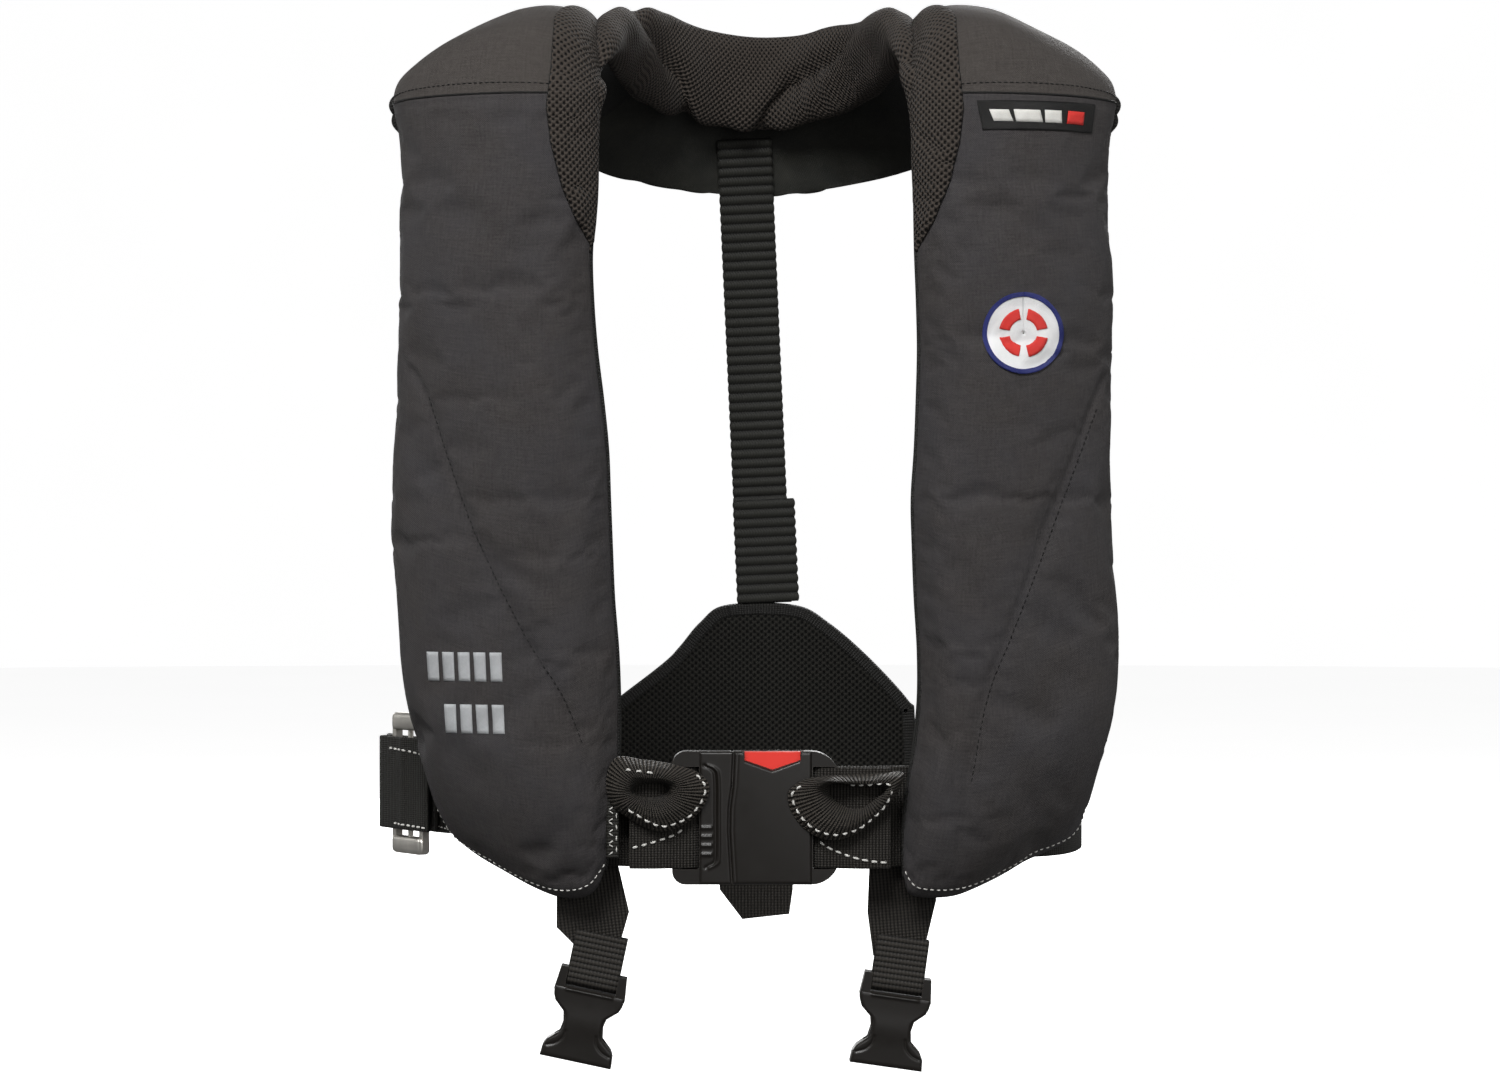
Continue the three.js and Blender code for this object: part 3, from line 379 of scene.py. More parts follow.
def mesh_of(name, points, faces, material, uv=None):
    mesh = bpy.data.meshes.new(name)
    mesh.from_pydata((np.asarray(points, float).reshape(-1, 3) * MM).tolist(), [], faces)
    if uv is not None:
        layer = mesh.uv_layers.new(name="UVMap")
        index = np.zeros(len(mesh.loops), int)
        mesh.loops.foreach_get("vertex_index", index)
        layer.data.foreach_set("uv", (np.asarray(uv).reshape(-1, 2)[index] * MM).ravel())
    mesh.polygons.foreach_set("use_smooth", [True] * len(mesh.polygons))
    mesh.materials.append(material)
    mesh.update()
    return link(bpy.data.objects.new(name, mesh))


def quads(rows, cols, closed_rows=False, closed_cols=False, start=0):
    r, c = np.meshgrid(np.arange(rows - (not closed_rows)), np.arange(cols - (not closed_cols)), indexing="ij")
    r2, c2 = (r + 1) % rows, (c + 1) % cols
    faces = np.stack([r * cols + c, r * cols + c2, r2 * cols + c2, r2 * cols + c], axis=-1).reshape(-1, 4) + start
    return faces.tolist()


def skin_faces(rows, cols):
    """The faces of a closed skin: a front grid, the same grid behind it and the rim between them."""
    count = rows * cols
    faces = quads(rows, cols) + [f[::-1] for f in quads(rows, cols, start=count)]
    rim = [r * cols for r in range(rows)] + [(rows - 1) * cols + c for c in range(1, cols)]
    rim += [r * cols + cols - 1 for r in range(rows - 2, -1, -1)] + [c for c in range(cols - 2, 0, -1)]
    return faces + [[b, b + count, a + count, a] for a, b in zip(rim, rim[1:] + rim[:1])]


def both(front, back):
    """The points of a front grid and of a back grid, in one list."""
    return np.concatenate([front.reshape(-1, front.shape[-1]), back.reshape(-1, back.shape[-1])])


def outward(obj):
    """Turns every face of a mesh outwards."""
    edit = bmesh.new()
    edit.from_mesh(obj.data)
    bmesh.ops.recalc_face_normals(edit, faces=edit.faces)
    edit.to_mesh(obj.data)
    edit.free()
    return obj


def lengths(grid):
    """UVs in millimetres: across from the middle column, and along the middle column."""
    step_c = np.linalg.norm(np.diff(grid, axis=1), axis=2)
    u = np.concatenate([np.zeros((len(grid), 1)), np.cumsum(step_c, axis=1)], axis=1)
    mid = grid.shape[1] // 2
    u = u - u[:, mid : mid + 1]
    step_r = np.linalg.norm(np.diff(grid[:, mid], axis=0), axis=1)
    v = np.concatenate([[0], np.cumsum(step_r)])[:, None] * np.ones((1, grid.shape[1]))
    return np.stack([u, v], axis=-1)


def normals(grid):
    """Unit normals of a grid, from its row and column directions."""
    down = np.gradient(grid, axis=0)
    over = np.gradient(grid, axis=1)
    return unit(np.cross(over, down))


WEARER = np.array([0, -20, -40])  # a point inside the wearer's neck: cloth faces away from it


def outer_normals(grid):
    n = normals(grid)
    return n if np.sum(n * (grid - WEARER)) > 0 else -n


def finer(grid, times):
    """A grid with `times` as many steps each way, on a smooth surface through the same points."""
    rows, cols, _ = grid.shape

    def stretch(values, count):
        at = np.linspace(0, len(values) - 1, count)
        i = np.minimum(at.astype(int), len(values) - 2)
        return catmull(lengthened(values), i, (at - i).reshape((-1,) + (1,) * (values.ndim - 1)))

    grid = stretch(grid, (rows - 1) * times + 1)
    return stretch(grid.swapaxes(0, 1), (cols - 1) * times + 1).swapaxes(0, 1)


def to_line(xz, line):
    """Distance from each (x, z) to a polyline, and how far along it the nearest point is, 0 to 1."""
    line = np.asarray(line, float)
    best = np.full(xz.shape[:-1], 1e9)
    along = np.zeros(xz.shape[:-1])
    for i, (a, b) in enumerate(zip(line[:-1], line[1:])):
        d = b - a
        t = np.clip(((xz - a) @ d) / (d @ d), 0, 1)
        gap = np.linalg.norm(xz - (a + t[..., None] * d), axis=-1)
        along = np.where(gap < best, (i + t) / (len(line) - 1), along)
        best = np.minimum(best, gap)
    return best, along


def press(grid, line, depth, width, fade):
    """Presses a soft valley into a grid along a line given as (x, z), as a seam or a fold does."""
    n = outer_normals(grid)
    gap, along = to_line(grid[..., [0, 2]], line)
    ends = np.clip(np.minimum(along, 1 - along) / fade, 0, 1)
    return grid - n * (depth * np.exp(-((gap / width) ** 2)) * ends)[..., None]


def lumps(points, scale, seed):
    """A smooth, repeatable noise from -1 to 1 at each point."""
    gen = np.random.default_rng(seed)
    total = np.zeros(points.shape[:-1])
    for _ in range(7):
        k = gen.normal(size=3)
        k = k / np.linalg.norm(k) * gen.uniform(0.6, 1.5) * 2 * math.pi / scale
        total += np.sin(points @ k + gen.uniform(0, 6.28))
    return total / 7


# The cloth's pressure, how long it settles, how far it may move in mm, and how firmly a seam is held.
PRESSURE, SETTLE_FRAMES, REACH, SEAM_HOLD = 4.0, 20, 6, 0.6


def settle(front, back, held, slack):
    """Blows up the closed bag between two grids with Blender's cloth, and returns the front grid.

    `held` says which front points stay; the back wall stays too. No point moves further than REACH."""
    rows, cols, _ = front.shape
    count = rows * cols
    bag = outward(mesh_of("settling", both(front, back), skin_faces(rows, cols), M["cover"]))
    group = bag.vertex_groups.new(name="held")
    group.add(list(range(count, 2 * count)), 1.0, "REPLACE")
    for share in (1.0, SEAM_HOLD):
        chosen = np.flatnonzero(np.isclose(held.reshape(-1), share))
        if len(chosen):
            group.add(chosen.tolist(), share, "REPLACE")
    cloth = bag.modifiers.new("cloth", "CLOTH")
    s = cloth.settings
    s.quality = 5
    s.mass = 0.25
    s.tension_stiffness = s.compression_stiffness = 25
    s.shear_stiffness = 12
    s.bending_stiffness = 4.0
    s.use_pressure = True
    s.uniform_pressure_force = PRESSURE
    s.vertex_group_mass = "held"
    s.pin_stiffness = 1.0
    s.shrink_min = -slack
    s.effector_weights.gravity = 0
    cloth.collision_settings.use_collision = False
    cloth.point_cache.frame_start = 1
    cloth.point_cache.frame_end = SETTLE_FRAMES
    scene = bpy.context.scene
    for number in range(1, SETTLE_FRAMES + 1):
        scene.frame_set(number)
    settled = bag.evaluated_get(bpy.context.evaluated_depsgraph_get()).to_mesh()
    moved = np.zeros(len(settled.vertices) * 3)
    settled.vertices.foreach_get("co", moved)
    moved = moved.reshape(-1, 3)[:count].reshape(rows, cols, 3) / MM
    scene.frame_set(1)
    bpy.data.objects.remove(bag)
    step = moved - front
    size = np.linalg.norm(step, axis=-1, keepdims=True)
    return front + step * np.minimum(1, REACH / np.maximum(size, 1e-9))


def finish(obj, body, slot, *nodes):
    """Puts a piece on a body and hides the CAD nodes it stands for; `slot` is not used."""
    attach(obj, body)
    if nodes:
        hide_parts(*nodes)
    return obj


def shell(name, front, material, thick):
    """A closed skin: a grid and its copy `thick` behind it, joined round the rim."""
    back = front - outer_normals(front) * thick
    uv = lengths(front)
    return outward(mesh_of(name, both(front, back), skin_faces(*front.shape[:2]), material, both(uv, uv)))


def cloth_piece(name, front, material, thick, slot, fill, *nodes):
    """A padded skin that belongs to the jacket."""
    piece = finish(shell(name, front, M[material], thick), "jacket", slot, *nodes)
    return piece


def ring_uv(rings, path):
    rows, sides, _ = rings.shape
    around = np.cumsum(np.linalg.norm(np.diff(rings, axis=1), axis=2), axis=1)
    along = np.concatenate([[0], np.cumsum(np.linalg.norm(np.diff(path, axis=0), axis=1))])
    u = np.concatenate([np.zeros((rows, 1)), around], axis=1)
    u = u - u[:, sides // 2 : sides // 2 + 1]
    v = np.broadcast_to(along[:, None], (rows, sides))
    return np.stack([u, v], axis=-1)


def tube(name, rings, path, material, closed=False):
    """A closed skin over rings of points, with an end cap at each end unless the path closes."""
    rows, sides, _ = rings.shape
    faces = quads(rows, sides, closed_rows=closed, closed_cols=True)
    if not closed:
        faces += [list(range(sides))[::-1], [(rows - 1) * sides + c for c in range(sides)]]
    return outward(mesh_of(name, rings, faces, material, ring_uv(rings, path)))


def swept(name, path, across, up, section, material, closed=False):
    """A tube with `section` [(a, b)...] at each path point, in the axes `across` and `up`."""
    section = np.asarray(section, float)
    rings = path[:, None] + across[:, None] * section[..., 0:1] + up[:, None] * section[..., 1:2]
    return tube(name, rings, path, material, closed)


def squarish(sides, power_a, power_b):
    """The two coordinates of a ring that is squarer than a circle, more so the lower the powers."""
    angle = np.linspace(0, 2 * math.pi, sides, endpoint=False)
    return [np.sign(w) * np.abs(w) ** p for w, p in ((np.cos(angle), power_a), (np.sin(angle), power_b))]


def circle(sides):
    angle = np.linspace(0, 2 * math.pi, sides, endpoint=False)
    return np.column_stack([np.cos(angle), np.sin(angle)])


def flat_section(half, thick, corner=None, across=9):
    """The rounded rectangle of a flat strap: `half` wide each way and `thick` through."""
    t = thick / 2
    corner = t if corner is None else corner
    edge = np.linspace(-half + corner, half - corner, across)
    top = [(x, t) for x in edge]
    turn = [math.radians(a) for a in (60, 30, 0, -30, -60)]
    right = [(half - corner + corner * math.cos(a), t * math.sin(a)) for a in turn]
    return top + right + [(-x, -y) for x, y in top] + [(-x, -y) for x, y in right]


def directions(path, closed=False):
    ahead = np.roll(path, -1, axis=0) - np.roll(path, 1, axis=0)
    if not closed:
        ahead[0], ahead[-1] = path[1] - path[0], path[-1] - path[-2]
    return unit(ahead)


def flat_strap(name, path, width_axis, half, thick, material):
    """A flat strap along a path, its width along `width_axis`."""
    path = np.asarray(path, float)
    width = np.broadcast_to(np.asarray(width_axis, float), path.shape)
    ahead = directions(path)
    width = unit(width - ahead * np.sum(width * ahead, axis=1, keepdims=True))
    return swept(name, path, width, np.cross(ahead, width), flat_section(half, thick), material)


STITCH_LIFT = 0.25


def stitch_row(name, line, facing, length, pitch, radius, material="thread"):
    """A row of raised thread stitches along a line; `facing` is the way they stand out of the cloth."""
    line = np.asarray(line, float)
    run = np.linalg.norm(np.diff(line, axis=0), axis=1).sum()
    count = max(1, int(run / pitch))
    fine = evenly(np.hstack([line, np.broadcast_to(np.asarray(facing, float), line.shape)]), count * 6 + 1)
    points, faces = [], []
    for i in range(count):
        mid = fine[i * 6 + 3]
        ahead = unit(fine[i * 6 + 5][:3] - fine[i * 6 + 1][:3])
        out = unit(mid[3:] - ahead * (mid[3:] @ ahead))
        side = np.cross(ahead, out)
        ahead = unit(ahead + side * rng.uniform(-0.06, 0.06))
        side = np.cross(ahead, out)
        size = length * rng.uniform(0.9, 1.08)
        base = len(points)
        for share, thick in ((-0.5, 0.25), (-0.4, 0.8), (-0.15, 1.0), (0.15, 1.0), (0.4, 0.8), (0.5, 0.25)):
            rise = STITCH_LIFT - radius * (2.2 * abs(share)) ** 3 * 0.9
            centre = mid[:3] + ahead * size * share + out * rise
            for k in range(6):
                angle = k * math.pi / 3
                points.append(centre + (side * math.cos(angle) + out * math.sin(angle)) * radius * thick)
        faces += quads(6, 6, closed_cols=True, start=base)
        faces += [list(range(base, base + 6))[::-1], list(range(base + 30, base + 36))]
    points = np.array(points)
    return mesh_of(name, points, faces, M[material], points[:, [0, 2]] + points[:, 1:2] * 0.3)


# ---------------------------------------------------------------- covers, yokes and linings
# Each lobe by height: the inner and outer edges of the shell as (z, x), its hem as (x, z), and its depth.
LOBES = {
    "right": {
        "side": -1,
        "inner": [
            *[(-5, 81.5), (-32, 81.6), (-58, 82.2), (-84, 84.8), (-110, 84.2), (-136, 82.2), (-162, 79), (-188, 76.4)],
            *[(-214, 75.4), (-240, 74.4), (-266, 73.3), (-292, 71.2), (-318, 70.2), (-339, 70.2), (-360, 71.2)],
            *[(-381, 73.3), (-396, 75.4), (-406, 77.5)],
        ],
        "outer": [
            *[(-5, 188.5), (-14, 186), (-32, 183), (-58, 183)],
            *[(-110, 183), (-136, 183.6), (-162, 184.7), (-188, 186.3)],
            *[(-214, 186.3), (-240, 185.8), (-266, 183.1), (-292, 180.4), (-318, 176.7), (-339, 172.5), (-358, 170)],
        ],
        "hem": [
            *[(77.5, -406), (79.5, -413), (83, -418), (88, -420.6), (95, -421.5), (103.7, -420.6), (114.3, -417)],
            *[(125, -412), (135.6, -406.6), (145, -401.5), (153.5, -395.5)],
            *[(160, -387), (164.8, -378), (168, -368), (170, -358)],
        ],
        "chord_in": [(-5, 82), (-60, 82), (-110, 84), (-162, 79), (-214, 75), (-292, 71), (-340, 70), (-420, 80)],
        "chord_out": [
            (-5, 190), (-60, 186), (-110, 186), (-240, 188),
            (-292, 183), (-340, 175), (-380, 168), (-430, 150),
        ],
        "belt": 72,
    },
    "left": {
        "side": 1,
        "inner": [
            *[(-5, 81.5), (-32, 81.6), (-58, 82.7), (-84, 83.2)],
            *[(-110, 84.2), (-136, 84.8), (-162, 84.2), (-188, 83.2)],
            *[(-214, 81.6), (-240, 82.2), (-266, 83.2), (-292, 84.8), (-318, 84.8), (-344, 82.2), (-370, 78.2)],
            *[(-396, 76.4), (-410, 76.6)],
        ],
        "outer": [
            *[(-5, 188.5), (-14, 186), (-32, 182.6), (-58, 182)],
            *[(-84, 183.6), (-110, 183.6), (-136, 182), (-162, 181.5)],
            *[(-214, 181.5), (-240, 182.4), (-266, 183.1), (-292, 182.6), (-318, 179.4), (-344, 175.4), (-368, 173.4)],
        ],
        "hem": [
            *[(76.6, -410), (77.4, -416), (80, -419.4), (86, -420.6), (95, -421), (103.7, -420.2), (111, -418)],
            *[(119.6, -414.4), (130, -409.5), (140.9, -404), (152, -400)],
            *[(162.2, -395.4), (168.6, -388), (172, -378), (173.4, -368)],
        ],
        "chord_in": [(-5, 81), (-60, 83), (-136, 85), (-214, 81), (-292, 84), (-340, 82), (-380, 77), (-420, 79)],
        "chord_out": [
            (-5, 190), (-60, 185), (-110, 187), (-214, 184),
            (-266, 186), (-318, 183), (-360, 177), (-430, 165),
        ],
        "belt": 82,
    },
}
LOBE_ARCH = 42
HEM_CLOSE = 80  # how far above the hem the shell starts to close
CHORD_Y = -112

# The neck from the left seam (first row) to the back, mirrored for the right side: its inner and outer
# edges, the way its cloth faces and how far that arches out.
NECK = [
    ((81.5, -112, -5), (190, -60, -5), (0.44, -0.9, 0), 42),
    ((82, -100, 10), (188, -51, 4), (0.4, -0.62, 0.67), 38.6),
    ((80, -72, 20), (184, -37, 6), (0.3, -0.1, 0.95), 34),
    ((76, -35, 24), (172, -13, 4), (0.22, 0.15, 0.96), 32),
    ((69, 5, 26), (150, 19, -4), (0.2, 0.42, 0.88), 30),
    ((56, 36, 28), (115, 52, -16), (0.25, 0.72, 0.64), 28),
    ((32, 56, 30), (66, 76, -30), (0.14, 0.9, 0.42), 26),
    ((0, 63, 31), (0, 84, -38), (0, 0.96, 0.29), 25),
]
MIRROR = np.array([-1.0, 1.0, 1.0])


def table(rows, key):
    rows = sorted(rows)
    return np.interp(key, [r[0] for r in rows], [r[1] for r in rows])


def neck_rows(first, last, count):
    """Inner, outer, face and arch at even steps: 0 is the right seam, 7 the back and 14 the left seam."""
    raw = [np.concatenate([i * MIRROR, o * MIRROR, f * MIRROR, [a]]) for i, o, f, a in NECK]
    raw += [np.concatenate([i, o, f, [a]]) for i, o, f, a in NECK[-2::-1]]
    at = np.linspace(first, last, count)
    i = np.minimum(at.astype(int), len(raw) - 2)
    row = catmull(lengthened(np.array(raw, float)), i, (at - i)[:, None])
    inner, outer, face, arch = row[:, :3], row[:, 3:6], row[:, 6:9], row[:, 9]
    chord = unit(outer - inner)
    face = unit(face - chord * np.sum(face * chord, axis=1, keepdims=True))
    return inner, outer, face, arch


def across_steps(cols):
    """`cols` steps from 0 to 1, closer together near both edges."""
    u = np.linspace(0, 1, cols)
    return 0.5 - 0.5 * np.cos(math.pi * u) * (1 - 0.25 * np.sin(math.pi * u) ** 2)


def neck_grid(first, last, rows, cols, arch_scale=1.0, sink=0.0, inset=0.0):
    """The arched cloth over the neck, or with no arch the flat chord, `sink` behind it."""
    inner, outer, face, arch = neck_rows(first, last, rows)
    u = across_steps(cols)
    chord = outer - inner
    grid = (inner + unit(chord) * inset)[:, None] + (chord - 2 * unit(chord) * inset)[:, None] * u[None, :, None]
    steps = np.linspace(first, last, rows)
    from_seam = np.minimum(steps, 14 - steps)
    shoulder = (np.exp(-(((from_seam - 1.6) / 1.3) ** 2)) * smoothstep(from_seam, 0, 0.9))[:, None]
    crest = u[None] ** (1 - 0.42 * shoulder)  # brings the highest line nearer the neck
    rise = np.sqrt(np.clip(1 - (2 * crest - 1) ** 2, 0, 1))
    slope = 1 - 0.26 * shoulder * np.clip((u - 0.35) / 0.65, 0, 1)[None] ** 1.2
    return grid + face[:, None] * (arch[:, None] * arch_scale * rise * slope - sink)[..., None]


def lobe_grid(lobe, rows, cols, arch=1.0, sink=0.0, inset=0.0):
    """The arched cloth of a lobe from its top seam (row 0) down to its hem."""
    side = lobe["side"]
    inner = spline([(x, z) for z, x in lobe["inner"]], rows)
    outer = spline([(x, z) for z, x in lobe["outer"]], rows)
    hem = spline(lobe["hem"], cols)
    u = across_steps(cols)
    hem = np.stack([np.interp(u, np.linspace(0, 1, cols), hem[:, k]) for k in (0, 1)], axis=1)
    top = inner[0] + (outer[0] - inner[0]) * u[:, None]
    v = np.linspace(0, 1, rows)[:, None, None]
    w = u[None, :, None]
    flat = (1 - w) * inner[:, None] + w * outer[:, None] + (1 - v) * top[None] + v * hem[None]
    flat -= (1 - w) * (1 - v) * inner[0] + w * (1 - v) * outer[0] + (1 - w) * v * inner[-1] + w * v * outer[-1]
    x, z = flat[..., 0], flat[..., 1]
    x_in, x_out = table(lobe["chord_in"], z), table(lobe["chord_out"], z)
    y_out = np.minimum(-60, CHORD_Y + (x_out - lobe["belt"]) / 2)
    slope = (y_out - CHORD_Y) / (x_out - x_in)
    y = CHORD_Y + slope * (x - x_in)
    gap = np.linalg.norm(flat - hem[None], axis=-1)
    close = np.sin(np.clip(gap / HEM_CLOSE, 0, 1) * math.pi / 2) ** 0.62 * 0.94 + 0.06
    rise = np.sqrt(np.clip(1 - (2 * u - 1) ** 2, 0, 1))[None]
    depth = np.interp(-z, [5, 60, 340, 420], [40, LOBE_ARCH, LOBE_ARCH + 1, LOBE_ARCH])
    depth = depth * rise * close * arch + 1.5 - sink
    face_x, face_y = slope / np.sqrt(1 + slope**2), -1 / np.sqrt(1 + slope**2)
    grid = np.stack([x + face_x * depth, y + face_y * depth, z], axis=-1)
    if inset:
        middle = (grid[:, :1] + grid[:, -1:]) / 2
        grid = grid + unit(middle - grid) * inset
    return grid * np.array([side, 1, 1])


def edge_mask(rows, cols, border=1):
    held = np.zeros((rows, cols))
    held[:border] = held[-border:] = 1
    held[:, :border] = held[:, -border:] = 1
    return held


COVER_ROWS, COVER_COLS = 130, 46
FIRM, LOOSE = 0.008, 0.02  # spare cloth, as a share of its length, in the covers and in the collar
SEAMS = {  # the long slanting seam of each lobe, and the soft folds beside it, as (x, z)
    "right": [
        (-181, -143), (-172, -160), (-160, -196), (-145.3, -235),
        (-119.8, -286), (-102, -314), (-91, -340), (-84.1, -370),
    ],
    "left": [
        (185, -146), (176, -166), (158, -212), (145.4, -245),
        (130, -284), (117.3, -316.6), (109, -360), (104.5, -404),
    ],
}
FOLDS = {
    "right": [
        ([(-145, -235), (-128, -248), (-112, -258), (-99, -266)], 2.2, 6),
        ([(-178, -182), (-165, -205), (-158, -236)], 1.6, 8),
        ([(-100, -262), (-112, -290), (-132, -318)], 1.5, 9),
        ([(-168, -330), (-150, -352), (-128, -368)], 1.8, 9),
        ([(-94, -372), (-104, -392), (-120, -402)], 1.6, 6),
        ([(-160, -60), (-140, -76), (-118, -84)], 1.2, 9),
    ],
    "left": [
        ([(96, -240), (112, -262), (124, -290)], 1.6, 8),
        ([(170, -206), (152, -226), (146, -250)], 1.5, 8),
        ([(92, -322), (101, -352), (103, -388)], 2.2, 6),
        ([(122, -330), (136, -360), (150, -386)], 1.8, 9),
        ([(160, -300), (150, -330), (152, -360)], 1.4, 9),
        ([(110, -56), (130, -72), (156, -80)], 1.2, 9),
    ],
}
LINING_END = -386
covers = {}
skins = {}
for name, lobe in LOBES.items():
    side = lobe["side"]
    front = lobe_grid(lobe, COVER_ROWS, COVER_COLS, arch=0.95)
    back = lobe_grid(lobe, COVER_ROWS, COVER_COLS, arch=0.0, sink=5)
    held = edge_mask(COVER_ROWS, COVER_COLS, 2)
    gap, _ = to_line(front[..., [0, 2]], SEAMS[name])
    held = np.where((gap < 2.2) & (held == 0), SEAM_HOLD, held)
    grid = settle(front, back, held, FIRM)
    grid = finer(grid, 2)
    waves = lumps(grid, 60, 11 + side) * 0.7 + lumps(grid, 24, 21 + side) * 0.2
    grid = grid + outer_normals(grid) * waves[..., None]
    grid = press(grid, SEAMS[name], 1.5, 1.4, 0.03)
    grid = press(grid, SEAMS[name], 1.0, 7, 0.05)
    for line, depth, width in FOLDS[name]:
        grid = press(grid, line, depth, width, 0.3)
    covers[name] = grid
    skins[name] = cloth_piece(f"cover_cloth_{name}", grid, "cover", 0.9, "cover_fabric", 0.7, f"cover_{name}")
    under = lobe_grid(lobe, 90, 24, arch=-0.09, sink=2.4, inset=1.2)
    under = under[under[..., 2].mean(axis=1) > LINING_END]  # open below, where the pull lines come out
    cloth_piece(f"lining_cloth_{name}", under, "lining", 1.4, "lining_fabric", 0.3, f"lining_{name}")

SEAM_BLEND_ROWS = 22
yokes = {}
for name, (first, last) in {"right": (0, 5), "left": (9, 14)}.items():
    rows, cols = 74, 46
    front = neck_grid(first, last, rows, cols, 0.95)
    back = neck_grid(first, last, rows, cols, 0.0, 5)
    grid = settle(front, back, edge_mask(rows, cols, 2), FIRM)
    grid = finer(grid, 2)
    grid = grid + outer_normals(grid) * (lumps(grid, 46, 31 + first) * 1.3)[..., None]
    # The seam: the yoke's edge runs onto the top edge of the cover.
    top = covers[name][0]
    share = np.linspace(0, len(top) - 1, grid.shape[1])
    top = np.stack([np.interp(share, np.arange(len(top)), top[:, k]) for k in range(3)], axis=1)
    from_edge = np.arange(len(grid)) if first == 0 else np.arange(len(grid))[::-1]
    off = top + (0, 0, 0.4) - grid[0 if first == 0 else -1]
    grid = grid + off[None] * (1 - smoothstep(from_edge, 0, SEAM_BLEND_ROWS))[:, None, None]
    yokes[name] = grid
    # The yoke wears the paler cloth, which is painted light.
    cloth_piece(f"yoke_cloth_lit_{name}", grid, "yoke", 0.9, "yoke_fabric", 0.7, f"yoke_{name}")
    under = neck_grid(first, last, 50, 24, -0.08, 2.4, 1.2)
    cloth_piece(f"yoke_lining_cloth_{name}", under, "lining", 1.4, "lining_fabric", 0.3, f"yoke_lining_{name}")


def skin_of(obj):
    """A mesh as a tree for casting rays, in millimetres."""
    mesh = obj.data
    return BVHTree.FromPolygons([v.co / MM for v in mesh.vertices], [p.vertices[:] for p in mesh.polygons])


def seen(tree, x, z):
    """The point of a skin seen from the front at (x, z), and the skin's normal there, towards the front."""
    hit, normal, _, _ = tree.ray_cast(Vector((x, -400, z)), Vector((0, 1, 0)))
    return hit, normal if hit is None or normal.y < 0 else -normal


def drape(tree, line, count=80):
    """The points of a skin under an (x, z) line seen from the front, and the skin's normals there."""
    pairs = [seen(tree, x, z) for x, z in spline(line, count)]
    return tuple(np.array(column) for column in zip(*[pair for pair in pairs if pair[0] is not None]))


def patch_on(tree, name, xz, material, proud, thick=0.5):
    """A thin patch laid on a skin over a grid of (x, z) seen from the front."""
    rows, cols, _ = xz.shape
    grid = np.zeros((rows, cols, 3))
    for r in range(rows):
        for c in range(cols):
            hit, normal = seen(tree, *xz[r, c])
            grid[r, c] = hit + normal * proud
    finish(shell(name, grid, M[material], thick), "jacket", "cover_fabric")


def quad_xz(corners, rows, cols):
    """A grid of (x, z) inside four corners: top left, top right, bottom right, bottom left."""
    a, b, c, d = (np.array(p, float) for p in corners)
    v, u = np.meshgrid(np.linspace(0, 1, rows), np.linspace(0, 1, cols), indexing="ij")
    u, v = u[..., None], v[..., None]
    return (a * (1 - u) + b * u) * (1 - v) + (d * (1 - u) + c * u) * v


def ring_xz(centre, inner, outer, rows, cols, start=0.0, turn=2 * math.pi):
    angle = start + np.linspace(0, turn, cols)[None]
    radius = np.linspace(inner, outer, rows)[:, None]
    return np.stack([centre[0] + radius * np.sin(angle), centre[1] + radius * np.cos(angle)], axis=-1)


# ---------------------------------------------------------------- mesh panels, seams and marks on the covers
def piping(name, line, radius, material, slot):
    """A fine raised line along a seam."""
    line = evenly(line, 180)
    ahead = directions(line)
    across = unit(np.cross(ahead, (0.1, -1.0, 0.3)))
    obj = swept(name, line, across, np.cross(ahead, across), circle(8) * radius, M[material])
    finish(obj, "jacket", slot)


# The mesh panel down the inner edge of each lobe: how far out it reaches, as (z, x).
PANEL_EDGE = [(-87, 83.5), (-71, 92.2), (-53, 99.4), (-30, 105), (-12, 107), (9, 105), (30, 104), (60, 104)]
for name in ("right", "left"):
    lobe_part = covers[name][::-1]
    yoke_part = yokes[name] if name == "right" else yokes[name][::-1]
    whole = np.concatenate([lobe_part, yoke_part[1:]])
    n = outer_normals(whole)
    first = int(np.argmax(lobe_part[:, 0, 2] > -86))
    last = len(lobe_part) + int(len(yoke_part) * 0.7)
    index = np.arange(whole.shape[1])
    keep = []
    for r in range(first, last):
        step = (r - len(lobe_part)) / len(yoke_part) * 5
        if step < 1.2:
            run = np.maximum.accumulate(np.abs(whole[r, :, 0]))
            z_row = whole[r, index[len(index) // 5], 2]
            limit = float(np.interp(table(PANEL_EDGE, z_row), run + index * 1e-6, index))
        share = limit * (1 - 0.55 * float(smoothstep(step, 1.2, 3.5)))
        at = np.linspace(0, share, 26)
        point = np.stack([np.interp(at, index, whole[r, :, k]) for k in range(3)], axis=1)
        out = np.stack([np.interp(at, index, n[r, :, k]) for k in range(3)], axis=1)
        puff = 1.7 * (1 - np.abs(2 * np.linspace(0, 1, 26) - 1) ** 5) + 0.25
        row = point + out * puff[:, None] * min(1, (r - first) / 12 + 0.15)
        wrap = [row[0] - out[0] * back + np.array([0, back * 0.6, 0]) for back in (7.5, 5, 2.5)]
        keep.append(np.concatenate([wrap, row]))
    panel = np.array(keep)
    cloth_piece(f"neck_mesh_panel_{name}", panel, "spacer", 1.2, "spacer_mesh", 0.3)
    piping(f"panel_seam_{name}", panel[:, -1], 0.7, "dark_thread", "cover_fabric")

